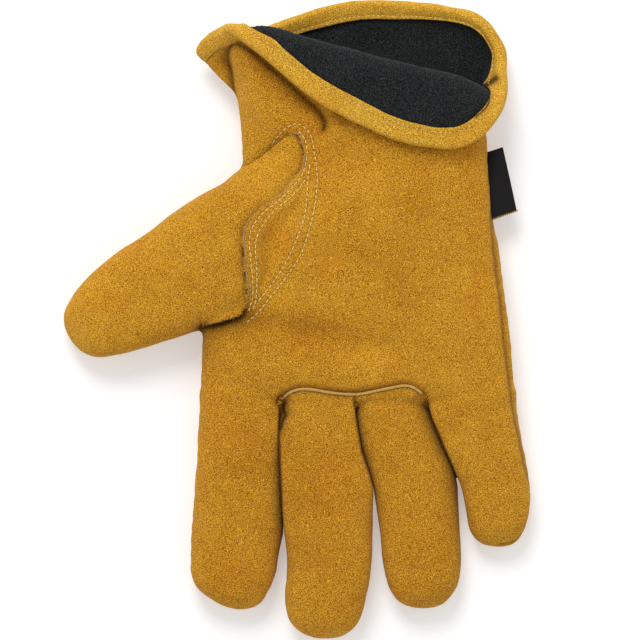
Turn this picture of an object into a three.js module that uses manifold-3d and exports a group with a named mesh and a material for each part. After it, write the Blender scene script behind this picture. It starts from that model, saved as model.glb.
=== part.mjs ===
// A lined driver glove of tan split suede: a right-hand glove lying on its back, palm up, with the
// front of its cuff folded out over the palm so that the fleece lining shows.
// Millimetres, +Z up. +Y runs from the fingers to the cuff, the thumb points to -X, and the glove
// lies on the plane Z = 0 with the middle of its box over the origin.

import * as THREE from 'three';
import Module from 'manifold-3d';
import { mergeVertices } from 'three/addons/utils/BufferGeometryUtils.js';
import { NURBSCurve } from 'three/addons/curves/NURBSCurve.js';

const wasm = await Module();
wasm.setup();

// Materials' thicknesses
const LEATHER = 1.3;
const FLEECE = 1.6;
const GAP = 0.5;
const KERF = 0.35;

// Hem: how far it reaches back from the rim, how far its round edge stands out, its room for the
// fleece, how much of its thickness each corner of the edge takes, and where the lining ends in it
const HEM_WIDTH = 6.6;
const HEM_ROLL = 0.9;
const HEM_EASE = 0.85;
const HEM_CORNER = 0.3;
const LINING_STOP = 2.4;

// Places of the corners round a finger and round the hand, in degrees from the thumb side over the
// palm: closer together where the fold of the cuff starts
const FINGER_TURNS = [0, 38, 73, 107, 142, 180, 221, 250, 290, 319];
const HAND_TURNS = [
  0, 14, 25, 33, 38.5, 43, 47.5, 52.5, 58, 65, 75, 90, 106, 123, 140, 154, 165, 175, 186, 199,
  216, 243, 280, 312, 337,
];

// Height of the widest place of a section, as a share of the section's height
const WIDEST = 0.47;

// How the sections close past their first one: the last ring's size, as a share of the ring
// before it, and how far out it lies
const TIP_END = { share: 0.3, out: 1 };
const KNUCKLE_END = { share: 0.85, out: 0.2 };

// The cuff wall leaves the wrist straight for this far, and runs straight for this far on each
// side of its fold, unless that is more than the given share of what is left to the rim
const WRIST_STRAIGHT = 9;
const FOLD_STRAIGHT = 8;
const FOLD_SHARE = 0.45;

// Height of the side seams above the surface, where the palm side meets the back
const SIDE_SEAM = [
  [-140, 5.5], [-116, 6.5], [-100, 10], [-30, 12.5], [60, 13.5], [140, 13],
];
const THUMB_SEAM_HEIGHT = 12.5;

function table(columns, rows) {
  const names = columns.split(' ');
  return rows.map((row) => Object.fromEntries(names.map((name, i) => [name, row[i]])));
}

// Hand sections from the knuckles to the wrist: distance along the hand, its left and right edges
// there, and its height
const HAND = table('along left right top', [
  [-33.4, -38.0, 87.6, 22.0],
  [-30.6, -39.8, 89.1, 25.0],
  [-16.0, -39.2, 87.4, 27.8],
  [8.0, -36.6, 84.4, 30.0],
  [32.0, -30.2, 81.6, 30.5],
  [65.0, -22.7, 77.1, 27.5],
]);

// Finger sections from the tip to the root, in the hand's frame
const INDEX = table('along left right top', [
  [-116.9, -26.4, -19.5, 10.0],
  [-113.7, -33.3, -14.6, 13.5],
  [-108.8, -40.4, -11.4, 16.5],
  [-99.5, -43.6, -8.5, 19.5],
  [-70.0, -42.0, -7.2, 21.5],
  [-38.6, -40.4, -8.1, 23.0],
  [-27.5, -40.4, -8.1, 24.0],
  [-20.0, -32.0, -14.0, 18.0],
]);
const MIDDLE = table('along left right top', [
  [-128.9, 5.7, 17.0, 10.5],
  [-125.9, 0.4, 21.5, 14.0],
  [-120.2, -4.2, 25.6, 17.5],
  [-109.6, -5.2, 28.0, 20.5],
  [-78.0, -5.5, 30.2, 22.7],
  [-50.0, -7.2, 25.6, 23.5],
  [-33.0, -6.9, 22.7, 24.0],
  [-27.5, -6.9, 22.0, 24.3],
  [-20.0, -1.0, 16.0, 18.0],
]);
const RING = table('along left right top', [
  [-116.4, 45.9, 56.0, 10.5],
  [-113.7, 40.2, 60.9, 13.5],
  [-108.8, 37.0, 64.4, 16.5],
  [-99.5, 35.5, 66.0, 19.0],
  [-72.0, 31.6, 64.6, 21.5],
  [-50.8, 26.2, 58.2, 22.5],
  [-36.0, 23.6, 52.8, 23.5],
  [-27.5, 23.6, 52.0, 24.3],
  [-20.0, 29.0, 46.0, 18.0],
]);
const LITTLE = table('along left right top', [
  [-92.6, 77.1, 85.3, 9.5],
  [-89.7, 72.7, 88.9, 13.0],
  [-85.3, 70.2, 91.8, 15.5],
  [-76.0, 67.9, 94.5, 18.0],
  [-65.0, 65.6, 93.8, 20.0],
  [-50.0, 59.0, 91.3, 21.5],
  [-36.0, 53.6, 90.0, 22.5],
  [-27.5, 52.8, 89.7, 23.5],
  [-20.0, 59.0, 82.0, 18.0],
]);

// Thumb sections from the tip to the root, in the thumb's own frame
const THUMB_ROOT = new THREE.Vector2(-14.6, 35.7);
const THUMB_HEADING = THREE.MathUtils.degToRad(27.9);
const THUMB = table('along left right top', [
  [-88.7, -5.0, 5.5, 12.0],
  [-86.0, -9.5, 10.0, 16.0],
  [-81.5, -12.8, 13.6, 19.5],
  [-72.0, -17.2, 17.0, 22.5],
  [-56.0, -20.6, 20.2, 24.5],
  [-39.0, -22.3, 23.3, 27.0],
  [-22.0, -24.6, 27.6, 30.5],
  [-6.0, -25.6, 29.0, 32.5],
  [4.0, -26.6, 24.0, 30.0],
  [11.0, -16.0, 14.0, 21.0],
]);

// Cuff wall, one row for each place round the wrist. turn is degrees from the thumb side over the
// palm; the wall runs from the wrist to the low side of its fold, over to the high side, and on
// to the rim. Where the wall isn't folded the two are just places on it.
const CUFF = table('turn lowX lowY lowZ highX highY highZ rimX rimY rimZ', [
  [0, -26.0, 92.0, 13.0, -30.5, 98.0, 12.5, -40.4, 108.8, 12.0],
  [20, -25.2, 98.3, 20.0, -29.2, 103.1, 20.5, -38.2, 113.2, 20.0],
  [35, -22.3, 104.7, 26.0, -25.6, 109.6, 27.5, -31.7, 117.6, 27.0],
  [45, -19.5, 111.0, 28.5, -21.6, 115.6, 33.5, -24.4, 117.0, 37.0],
  [53, -15.8, 114.2, 29.0, -18.0, 115.6, 37.0, -18.4, 110.5, 40.5],
  [63, -8.1, 113.4, 29.0, -9.8, 113.8, 38.0, -10.0, 101.2, 41.0],
  [75, 4.0, 110.0, 29.5, 2.4, 110.2, 37.5, 3.7, 90.9, 39.0],
  [90, 21.9, 105.4, 29.5, 20.7, 105.4, 37.0, 19.1, 81.6, 35.5],
  [105, 42.2, 100.2, 29.5, 40.6, 100.2, 35.0, 39.8, 72.9, 32.0],
  [120, 56.8, 96.4, 28.5, 55.6, 96.4, 34.0, 54.4, 70.4, 31.5],
  [140, 67.0, 93.4, 26.5, 66.6, 93.4, 32.0, 66.4, 70.8, 30.5],
  [160, 74.6, 91.0, 21.0, 76.6, 91.8, 26.5, 78.0, 76.5, 28.0],
  [180, 78.2, 90.0, 13.0, 80.2, 91.4, 17.0, 86.6, 88.0, 23.0],
  [200, 78.6, 93.0, 6.5, 82.0, 97.4, 8.5, 86.4, 100.5, 14.5],
  [220, 75.5, 99.5, 1.5, 79.0, 105.0, 2.5, 84.0, 112.0, 8.0],
  [240, 60.0, 105.6, 0.0, 64.5, 111.7, 0.5, 71.5, 123.4, 5.0],
  [270, 27.2, 108.0, 0.0, 27.6, 115.0, 0.0, 28.0, 129.2, 2.5],
  [300, -5.3, 106.0, 0.0, -3.2, 112.5, 0.5, 2.0, 124.6, 4.0],
  [320, -16.2, 101.6, 1.0, -16.2, 107.4, 2.0, -14.0, 118.4, 5.0],
  [340, -22.8, 94.4, 6.0, -25.4, 100.1, 6.5, -32.0, 111.7, 6.5],
]);

// Seams seen from above: the thumb's edge, the gusset's edge on the palm, and the knuckle seam
const THUMB_SEAM = [
  [-32, 66], [-23.6, 61.9], [-11.4, 69], [-0.8, 75.5], [2.4, 68.6], [2, 62.1], [-1.6, 57.2],
  [-6.5, 51.2], [-13, 46.3], [-19.5, 40.6], [-21.9, 34.5], [-21.5, 26.8], [-20.7, 17.1],
  [-19.9, 10.6], [-23.1, 2.6], [-31, -0.9], [-38.9, -3.4], [-42, -12],
];
const GUSSET_SEAM = [
  [-4, 71], [1, 75.4], [5.8, 70], [6.2, 60], [3.6, 46], [0, 33], [-6, 21], [-13, 9], [-20, 2.6],
  [-28, 4],
];
const KNUCKLE_SEAM = [
  [-7.4, -38], [-7.2, -32.6], [-5, -30], [-1, -28.6], [4, -28], [9.5, -28.7], [15, -29.6],
  [21.5, -29.9], [28, -29.2], [33.5, -28], [39, -27.2], [44, -26.6], [48, -27.6], [51, -30],
  [53, -36],
];
const MIDDLE_RING_SLIT = [[22.4, -28.6], [22.9, -32.5], [23.2, -37]];
const PALM_EDGE_UNDER_THUMB = [[-32, 66], [-23.6, 61.9], [-31.5, 28.4], [-38.9, -3.4], [-42, -12]];

// Strips between the fingers: the height of their middle line, and their outline as shares of the
// whole length and of the height at the crotch
const LEAF_MIDDLE = 11.5;
const LEAF = table('along tall', [[0, 1], [0.55, 0.8], [0.9, 0.35], [1, 0.06]]);

// Where each strip starts and ends along the hand, the middle of its gap
// there, how far it reaches to either side, and its half height at the crotch
const FOURCHETTES = table('name start startX end endX reach halfHeight', [
  ['index_middle', -29.5, -7.4, -107, -7.2, 15, 5.2],
  ['middle_ring', -29.5, 22.6, -107, 32.5, 14, 5.2],
  ['ring_little', -29.5, 52.0, -84, 67.2, 13, 5.0],
]);

// Woven tab: its corners from above, the height that it lies at, and its thickness
const TAB_CORNERS = [[78.9, 68.2], [83, 69.6], [88.7, 44.3], [81.6, 41.6]];
const TAB_HEIGHT = 15.5;
const TAB_THICKNESS = 1;

// Knuckle piping
const WELT_RADIUS = 0.6;
const WELT_SIDES = 6;
const WELT_STEPS = 22;

// Where each set of sections lies and how square it is. pressed is how far its underside would
// sink, as a share of its height, if the surface below didn't flatten it.
const HAND_FORM = { origin: new THREE.Vector2(0, 0), heading: Math.PI / 2, squareness: 2.8, pressed: 0.2 };
const FINGER_FORM = { ...HAND_FORM, squareness: 2.4, pressed: 0.1 };
const THUMB_FORM = { ...FINGER_FORM, origin: THUMB_ROOT, heading: THUMB_HEADING };

// A section's outline at one place round it, as its distance across and its height
function sectionAt(row, turn, form) {
  const power = 2 / form.squareness;
  const side = -Math.cos(turn);
  const rise = Math.sin(turn);
  const middle = row.top * WIDEST;
  const reach = rise > 0 ? row.top - middle : middle + row.top * form.pressed;
  const across = (row.left + row.right) / 2
    + Math.sign(side) * Math.abs(side) ** power * (row.right - row.left) / 2;
  const height = middle + Math.sign(rise) * Math.abs(rise) ** power * reach;
  return [across, Math.max(height, 0)];
}

function ringOf(row, turns, form) {
  const ahead = new THREE.Vector2(Math.cos(form.heading), Math.sin(form.heading));
  const right = new THREE.Vector2(ahead.y, -ahead.x);
  return turns.map((turn) => {
    const [across, height] = sectionAt(row, THREE.MathUtils.degToRad(turn), form);
    const spot = form.origin.clone().addScaledVector(ahead, row.along).addScaledVector(right, across);
    return new THREE.Vector3(spot.x, spot.y, height);
  });
}

function middleOf(ring) {
  const sum = ring.reduce((total, point) => total.add(point), new THREE.Vector3());
  return sum.divideScalar(ring.length);
}

// Each point of a grid of rings, moved inwards through the wall by the given depth
function inward(rings, depth) {
  const last = rings.length - 1;
  return rings.map((ring, i) => ring.map((point, j) => {
    const around = ring[(j + 1) % ring.length].clone().sub(ring[(j + ring.length - 1) % ring.length]);
    const along = rings[Math.min(i + 1, last)][j].clone().sub(rings[Math.max(i - 1, 0)][j]);
    return point.clone().addScaledVector(around.cross(along).normalize(), -depth);
  }));
}

function signedVolume(points, faces) {
  const volume = (a, b, c) => points[a].dot(points[b].clone().cross(points[c])) / 6;
  return faces.reduce((sum, [a, b, c]) => sum + volume(a, b, c), 0);
}

function solidOf(points, faces) {
  const flip = signedVolume(points, faces) < 0;
  const triVerts = new Uint32Array(faces.flatMap(([a, b, c]) => (flip ? [a, c, b] : [a, b, c])));
  const vertProperties = new Float32Array(points.flatMap((point) => point.toArray()));
  return new wasm.Manifold(new wasm.Mesh({ numProp: 3, vertProperties, triVerts }));
}

// A solid through rings with the same number of points: closed at both ends by a point in the
// middle, or with the last ring joined back to the first. Each facet of four corners is split along
// its shorter diagonal, so that walls with the same rings lie neatly one inside the other.
function solidThrough(rings, loop = false) {
  const sides = rings[0].length;
  const points = rings.flat();
  const faces = [];
  const strips = loop ? rings.length : rings.length - 1;
  for (let i = 0; i < strips; i += 1) {
    const next = (i + 1) % rings.length;
    for (let j = 0; j < sides; j += 1) {
      const k = (j + 1) % sides;
      const [a, b, c, d] = [i * sides + j, i * sides + k, next * sides + k, next * sides + j];
      if (points[a].distanceTo(points[c]) < points[b].distanceTo(points[d])) {
        faces.push([a, b, c], [a, c, d]);
      } else {
        faces.push([a, b, d], [b, c, d]);
      }
    }
  }
  if (!loop) {
    for (const i of [0, rings.length - 1]) {
      points.push(middleOf(rings[i]));
      for (let j = 0; j < sides; j += 1) {
        const edge = [i * sides + j, i * sides + (j + 1) % sides];
        faces.push(i === 0 ? [edge[1], edge[0], points.length - 1] : [...edge, points.length - 1]);
      }
    }
  }
  return solidOf(points, faces);
}

// All the rings of a table, with one more that starts closing the first end
function ringsOf(rows, turns, form, { share, out }) {
  const rings = rows.map((row) => ringOf(row, turns, form));
  const middle = middleOf(rings[0]);
  const ahead = middle.clone().sub(middleOf(rings[1])).setLength(out);
  const closing = rings[0].map((point) => middle.clone().lerp(point, share).add(ahead));
  return [closing, ...rings];
}

// Each digit's root is well inside the hand. The thumb is the last.
const DIGITS = [
  ringsOf(INDEX, FINGER_TURNS, FINGER_FORM, TIP_END),
  ringsOf(MIDDLE, FINGER_TURNS, FINGER_FORM, TIP_END),
  ringsOf(RING, FINGER_TURNS, FINGER_FORM, TIP_END),
  ringsOf(LITTLE, FINGER_TURNS, FINGER_FORM, TIP_END),
  ringsOf(THUMB, FINGER_TURNS, THUMB_FORM, TIP_END),
];

// A column of the cuff table at any turn, by a smooth closed curve through its rows
function cuffColumn(name, degrees) {
  let i = CUFF.length - 1;
  while (CUFF[i].turn > degrees) i -= 1;
  const row = (k) => CUFF[(k + CUFF.length) % CUFF.length];
  const at = (k) => row(k).turn + 360 * Math.floor(k / CUFF.length);
  const slope = (k) => (row(k + 1)[name] - row(k - 1)[name]) / (at(k + 1) - at(k - 1));
  const span = at(i + 1) - at(i);
  const t = (degrees - at(i)) / span;
  const start = (1 + 2 * t) * (1 - t) ** 2 * row(i)[name] + t * (1 - t) ** 2 * span * slope(i);
  const end = t * t * (3 - 2 * t) * row(i + 1)[name] + t * t * (t - 1) * span * slope(i + 1);
  return start + end;
}

// The cuff wall's line at one turn, from the wrist to the rim, as a spline that leaves the wrist
// along the hand and rounds the fold
function cuffLine(turn) {
  const wrist = HAND[HAND.length - 1];
  const [across, height] = sectionAt(wrist, THREE.MathUtils.degToRad(turn), HAND_FORM);
  const start = new THREE.Vector3(across, wrist.along, height);
  const place = (part) => {
    const [x, y, z] = ['X', 'Y', 'Z'].map((axis) => cuffColumn(part + axis, turn));
    return new THREE.Vector3(x, y, Math.max(z, 0));
  };
  const low = place('low');
  const high = place('high');
  const rim = place('rim');
  const leaving = start.clone().add(new THREE.Vector3(0, WRIST_STRAIGHT, 0));
  const before = low.clone().addScaledVector(start.clone().sub(low).normalize(), FOLD_STRAIGHT);
  const after = high.clone().lerp(rim, Math.min(FOLD_SHARE, FOLD_STRAIGHT / high.distanceTo(rim)));
  const controls = [start, leaving, before, low, high, after, rim];
  const knots = [0, 0, 0, 0, 0.25, 0.5, 0.75, 1, 1, 1, 1];
  return new NURBSCurve(3, knots, controls.map((point) => new THREE.Vector4(...point, 1)));
}

// Rings of the cuff: some by share of the wall's line up to the hem, and some by their distance
// from the rim
const WALL_SHARES = [0.22, 0.43, 0.55, 0.63, 0.72, 0.84, 1];
const HEM_STOPS = [HEM_WIDTH, LINING_STOP, LINING_STOP - GAP, 0];
const cuffLines = HAND_TURNS.map((turn) => cuffLine(turn));

function fromRim(line, distance) {
  const length = line.getLength();
  return line.getUtoTmapping((length - distance) / length);
}

const handRings = ringsOf(HAND, HAND_TURNS, HAND_FORM, KNUCKLE_END);
const wallEnd = (line) => fromRim(line, HEM_WIDTH + GAP);
const cuffRings = [
  ...WALL_SHARES.map((share) => cuffLines.map((line) => line.getPoint(share * wallEnd(line)))),
  ...HEM_STOPS.map((stop) => cuffLines.map((line) => line.getPoint(fromRim(line, stop)))),
];
const skin = [...handRings, ...cuffRings];
const liningStart = handRings.length - HAND.length + 2;
const hemStart = handRings.length + WALL_SHARES.length;
const liningEnd = hemStart + HEM_STOPS.indexOf(LINING_STOP);
const pocketEnd = liningEnd + 1;
const rimRing = skin.length - 1;

// The leather's wall round the whole glove, hollow to the finger tips and open at the cuff
function leatherWall() {
  const outer = skin.slice(0, hemStart);
  const inner = inward(skin, LEATHER).slice(0, hemStart);
  let wall = solidThrough([...outer, ...inner.slice().reverse()]);
  for (const digit of DIGITS) wall = wall.add(solidThrough(digit));
  for (const digit of DIGITS) wall = wall.subtract(solidThrough(inward(digit, LEATHER)));
  return biggest(wall.subtract(solidThrough(inner.slice(0, handRings.length))));
}

// The main body of a cut solid, without the crumbs that a cut leaves
function biggest(solid) {
  return solid.decompose().reduce((best, body) => (body.volume() > best.volume() ? body : best));
}

// Prisms for cutting: an outline in the XY plane between two heights
function prism(outline, low, high) {
  const shape = new THREE.Shape(outline.map(([x, y]) => new THREE.Vector2(x, y)));
  const geometry = new THREE.ExtrudeGeometry(shape, { depth: high - low, bevelEnabled: false });
  return solidFromGeometry(geometry.translate(0, 0, low));
}

function solidFromGeometry(geometry) {
  geometry.deleteAttribute('normal');
  geometry.deleteAttribute('uv');
  const merged = mergeVertices(geometry, 1e-4);
  return new wasm.Manifold(new wasm.Mesh({
    numProp: 3,
    vertProperties: merged.attributes.position.array,
    triVerts: new Uint32Array(merged.index.array),
  }));
}

// A thin blade that stands along a line seen from above
function blade(line, low, high) {
  const points = line.map(([x, y]) => new THREE.Vector2(x, y));
  const sideOf = (i) => {
    const ahead = points[Math.min(i + 1, points.length - 1)].clone().sub(points[Math.max(i - 1, 0)]);
    return new THREE.Vector2(-ahead.y, ahead.x).setLength(KERF / 2);
  };
  const left = points.map((point, i) => point.clone().add(sideOf(i)));
  const right = points.map((point, i) => point.clone().sub(sideOf(i)));
  return prism([...left, ...right.reverse()].map((point) => [point.x, point.y]), low, high);
}

// The body of a solid that has the corner nearest to a place
function bodyNear(solid, place) {
  const target = new THREE.Vector3(...place);
  const reach = (body) => {
    const { vertProperties } = body.getMesh();
    let best = Infinity;
    for (let i = 0; i < vertProperties.length; i += 3) {
      best = Math.min(best, target.distanceTo(new THREE.Vector3().fromArray(vertProperties, i)));
    }
    return best;
  };
  return solid.decompose().reduce((best, body) => (reach(body) < reach(best) ? body : best));
}

// Leather, cut into its panels: the heights that the blades run between, how wide the sheet through
// the side seams is, and a place on each panel that the cuts leave
const BOTTOM = -5;
const TOP = 80;
const SHEET_WIDTH = 240;
const ON_THUMB = [-80, 0, 24];
const ON_BACK = [27, 20, 0];
const ON_PALM = [40, 20, 30];
const ON_MIDDLE_FRONT = [12, -80, 22];
const ON_RING_FRONT = [48, -80, 21];
const ON_GUSSET = [-12, 28, 31];
const leather = leatherWall();

// An outline drawn along Y and Z, made into a solid that reaches equally far to both sides
function sideways(outline, width) {
  const shape = new THREE.Shape(outline.map(([y, z]) => new THREE.Vector2(y, z)));
  const geometry = new THREE.ExtrudeGeometry(shape, { depth: width, bevelEnabled: false });
  geometry.translate(0, 0, -width / 2);
  return geometry.applyMatrix4(new THREE.Matrix4().set(0, 0, 1, 0, 1, 0, 0, 0, 0, 1, 0, 0, 0, 0, 0, 1));
}

// Thumb: free of the hand along its seam on the palm, along the palm's edge beneath it, and
// across between the two
const thumbTop = blade(THUMB_SEAM, THUMB_SEAM_HEIGHT - KERF / 2, TOP);
const thumbUnder = blade(PALM_EDGE_UNDER_THUMB, BOTTOM, THUMB_SEAM_HEIGHT + KERF / 2);
const thumbLevel = prism(
  [...THUMB_SEAM.slice(1, -1), PALM_EDGE_UNDER_THUMB[2]],
  THUMB_SEAM_HEIGHT - KERF / 2,
  THUMB_SEAM_HEIGHT + KERF / 2,
);
const withoutThumb = leather.subtract(thumbTop).subtract(thumbUnder).subtract(thumbLevel);
const thumbPanel = bodyNear(withoutThumb, ON_THUMB);

// Fourchettes: a leaf-shaped prism lies across each gap between two fingers
function leaf(row, extra) {
  const { start, end, reach, halfHeight } = row;
  const length = start - end;
  const edge = (sign) => LEAF.map(({ along, tall }) => [
    extra - along * (length + 2 * extra),
    LEAF_MIDDLE + sign * (tall * halfHeight + extra),
  ]);
  const geometry = sideways([...edge(1), ...edge(-1).reverse()], 2 * (reach + extra));
  geometry.rotateZ(Math.atan2(row.endX - row.startX, start - end));
  geometry.translate(row.startX, start, 0);
  return solidFromGeometry(geometry);
}

let hand = withoutThumb.subtract(thumbPanel);
const fourchettes = {};
for (const row of FOURCHETTES) {
  const crotch = [row.startX, row.start, LEAF_MIDDLE];
  fourchettes[`fourchette_${row.name}`] = bodyNear(hand.intersect(leaf(row, 0)), crotch);
}
for (const row of FOURCHETTES) hand = hand.subtract(leaf(row, KERF));

// Side seams: one thin sheet across the whole hand parts the palm side from the back
const sheetOutline = [
  ...SIDE_SEAM.map(([y, z]) => [y, z - KERF / 2]),
  ...SIDE_SEAM.slice().reverse().map(([y, z]) => [y, z + KERF / 2]),
];
const parted = hand.subtract(solidFromGeometry(sideways(sheetOutline, SHEET_WIDTH)));
const backPanel = bodyNear(parted, ON_BACK);
const front = parted
  .subtract(backPanel)
  .subtract(blade(GUSSET_SEAM, THUMB_SEAM_HEIGHT, TOP))
  .subtract(blade(KNUCKLE_SEAM, THUMB_SEAM_HEIGHT, TOP))
  .subtract(blade(MIDDLE_RING_SLIT, THUMB_SEAM_HEIGHT, TOP));
const palmPanel = bodyNear(front, ON_PALM);
const middleFront = bodyNear(front, ON_MIDDLE_FRONT);
const ringFront = bodyNear(front, ON_RING_FRONT);
const gusset = bodyNear(front, ON_GUSSET);

// Hem: a U-shaped band round the rim, its two legs on either side of the wall's edge
function hemSolid() {
  const fleeceFace = LEATHER + GAP + FLEECE + HEM_EASE;
  const depths = [0, LEATHER, fleeceFace, fleeceFace + LEATHER];
  const [face, legInside, liningSide, inside] = depths.map((depth) => inward(skin, depth));
  const outwardOf = (ring) => ring.map((point, j) => {
    const outwards = skin[rimRing][j].clone().sub(skin[pocketEnd][j]).setLength(HEM_ROLL);
    return point.clone().add(outwards);
  });
  const between = (share) => (
    face[rimRing].map((point, j) => point.clone().lerp(inside[rimRing][j], share))
  );
  return solidThrough([
    face[hemStart], face[pocketEnd], between(HEM_CORNER / 4),
    outwardOf(between(HEM_CORNER)), outwardOf(between(1 - HEM_CORNER)),
    between(1 - HEM_CORNER / 4), inside[pocketEnd],
    inside[hemStart - 1], liningSide[hemStart - 1], liningSide[pocketEnd], legInside[pocketEnd],
    legInside[hemStart],
  ], true);
}

// Lining: a sleeve from the roots of the fingers to the inside of the hem, with a hole for the thumb
function liningSolid() {
  const wall = (depth) => inward(skin, depth).slice(liningStart, liningEnd + 1);
  const sleeve = solidThrough([
    ...wall(LEATHER + GAP),
    ...wall(LEATHER + GAP + FLEECE).reverse(),
  ], true);
  return biggest(sleeve.subtract(solidThrough(DIGITS[DIGITS.length - 1])));
}

// Height of a solid's highest point over a place
function topOver(solid, x, y) {
  const { vertProperties, triVerts } = solid.getMesh();
  const mesh = new THREE.BufferGeometry();
  mesh.setAttribute('position', new THREE.BufferAttribute(vertProperties, 3));
  mesh.setIndex(new THREE.BufferAttribute(triVerts, 1));
  const down = new THREE.Raycaster(new THREE.Vector3(x, y, TOP), new THREE.Vector3(0, 0, -1));
  const bothSides = new THREE.MeshBasicMaterial({ side: THREE.DoubleSide });
  const [hit] = down.intersectObject(new THREE.Mesh(mesh, bothSides));
  return hit.point.z;
}

// Knuckle piping: a fine tube that lies in the knuckle seam, clear of the leather below it
function weltGeometry() {
  const route = KNUCKLE_SEAM.slice(2, -1).map(([x, y]) => (
    new THREE.Vector3(x, y, topOver(leather, x, y) + WELT_RADIUS + GAP)
  ));
  const section = new THREE.Shape(Array.from({ length: WELT_SIDES }, (_, i) => {
    const angle = (i / WELT_SIDES) * 2 * Math.PI;
    return new THREE.Vector2(WELT_RADIUS * Math.cos(angle), WELT_RADIUS * Math.sin(angle));
  }));
  const extrudePath = new THREE.CatmullRomCurve3(route);
  return new THREE.ExtrudeGeometry(section, { steps: WELT_STEPS, extrudePath, bevelEnabled: false });
}

function tabGeometry() {
  const shape = new THREE.Shape(TAB_CORNERS.map(([x, y]) => new THREE.Vector2(x, y)));
  const geometry = new THREE.ExtrudeGeometry(shape, { depth: TAB_THICKNESS, bevelEnabled: false });
  return geometry.translate(0, 0, TAB_HEIGHT);
}

// Colours and finishes
const suede = { color: 0xb9812a, roughness: 0.92 };
const suedeLight = { color: 0xcc9834, roughness: 0.92 };
const fleece = { color: 0x212424, roughness: 1 };
const piping = { color: 0xb9ab8d, roughness: 0.85 };
const webbing = { color: 0x161617, roughness: 0.8 };

const glove = new THREE.Group();

function addPiece(name, geometry, finish) {
  const mesh = new THREE.Mesh(geometry, new THREE.MeshStandardMaterial({ ...finish, metalness: 0 }));
  mesh.name = name;
  glove.add(mesh);
}

function addSolid(name, solid, finish) {
  const { vertProperties, triVerts } = solid.getMesh();
  const geometry = new THREE.BufferGeometry();
  geometry.setAttribute('position', new THREE.BufferAttribute(vertProperties, 3));
  geometry.setIndex(new THREE.BufferAttribute(triVerts, 1));
  geometry.computeVertexNormals();
  addPiece(name, geometry, finish);
}

addSolid('palm_panel', palmPanel, suede);
addSolid('middle_front', middleFront, suede);
addSolid('ring_front', ringFront, suede);
addSolid('back_panel', backPanel, suede);
addSolid('thumb_panel', thumbPanel, suede);
addSolid('thumb_gusset', gusset, suede);
for (const [name, solid] of Object.entries(fourchettes)) addSolid(name, solid, suede);
addSolid('cuff_hem', hemSolid(), suedeLight);
addSolid('lining', liningSolid(), fleece);
addPiece('knuckle_welt', weltGeometry(), piping);
addPiece('label_tab', tabGeometry(), webbing);

export default glove;
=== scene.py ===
"""A lined driver glove of golden-tan split suede: a right-hand glove that lies on its back, palm up,
with the front of its cuff folded out over the palm so that the dark fleece inside shows."""
import math

import bpy
import numpy as np
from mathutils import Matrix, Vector, noise
from mathutils.bvhtree import BVHTree


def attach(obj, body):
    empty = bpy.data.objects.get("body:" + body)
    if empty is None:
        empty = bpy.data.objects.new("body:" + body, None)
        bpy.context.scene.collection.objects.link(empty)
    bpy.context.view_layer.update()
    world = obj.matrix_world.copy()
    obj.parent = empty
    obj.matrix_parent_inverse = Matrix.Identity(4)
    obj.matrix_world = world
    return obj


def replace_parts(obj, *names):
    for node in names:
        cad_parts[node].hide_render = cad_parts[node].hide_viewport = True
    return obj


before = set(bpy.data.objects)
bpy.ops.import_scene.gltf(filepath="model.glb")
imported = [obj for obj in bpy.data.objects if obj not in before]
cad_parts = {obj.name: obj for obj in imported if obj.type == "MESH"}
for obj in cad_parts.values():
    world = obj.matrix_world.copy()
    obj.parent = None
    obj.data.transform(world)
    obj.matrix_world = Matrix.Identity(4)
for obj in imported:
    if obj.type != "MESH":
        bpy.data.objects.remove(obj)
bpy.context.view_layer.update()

# Hand and digits. The real glove is a set of stitched suede tubes, pushed out by the lining and
# pressed flat where they lie. Each is given here by sections across it, in millimetres, and the
# tubes are melted into one skin that is cut into its panels further down.
ALONG, LEFT, RIGHT, TOP = range(4)
HAND = [
    [-33.4, -38.0, 86.4, 22.0],
    [-30.6, -39.3, 87.6, 25.0],
    [-16.0, -39.2, 87.0, 27.8],
    [8.0, -36.6, 83.9, 30.0],
    [32.0, -30.2, 80.8, 30.5],
    [41.0, -27.7, 79.2, 30.1],
    [50.0, -25.2, 78.3, 29.4],
    [65.0, -22.7, 77.1, 27.5],
    [72.0, -22.7, 77.1, 27.5],
]
INDEX = [
    [-118.3, -22.9, -22.9, 10.0],
    [-117.4, -27.8, -18.6, 12.0],
    [-114.4, -33.8, -14.5, 15.0],
    [-109.2, -40.7, -11.5, 17.6],
    [-103.0, -43.7, -9.0, 19.2],
    [-97.0, -43.8, -8.1, 20.0],
    [-91.5, -43.5, -7.0, 20.5],
    [-85.0, -43.0, -5.4, 20.8],
    [-70.0, -42.0, -4.6, 21.6],
    [-38.6, -40.4, -5.8, 23.0],
    [-27.5, -39.6, -6.2, 24.0],
    [-18.0, -36.0, -12.0, 20.0],
]
MIDDLE = [
    [-129.9, 11.5, 11.5, 10.0],
    [-129.1, 5.3, 17.6, 12.0],
    [-126.2, -0.2, 21.9, 15.4],
    [-120.4, -4.3, 25.7, 18.4],
    [-111.0, -5.4, 28.0, 20.8],
    [-104.0, -4.6, 29.2, 21.6],
    [-94.0, -4.8, 30.1, 22.2],
    [-85.0, -6.2, 30.4, 22.7],
    [-77.0, -8.2, 30.4, 22.9],
    [-66.0, -8.9, 30.9, 23.3],
    [-58.0, -9.4, 29.2, 23.5],
    [-50.0, -9.6, 27.2, 23.6],
    [-33.0, -9.0, 24.4, 24.0],
    [-24.0, -6.0, 21.4, 23.0],
    [-17.0, -2.0, 17.0, 19.0],
]
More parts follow.
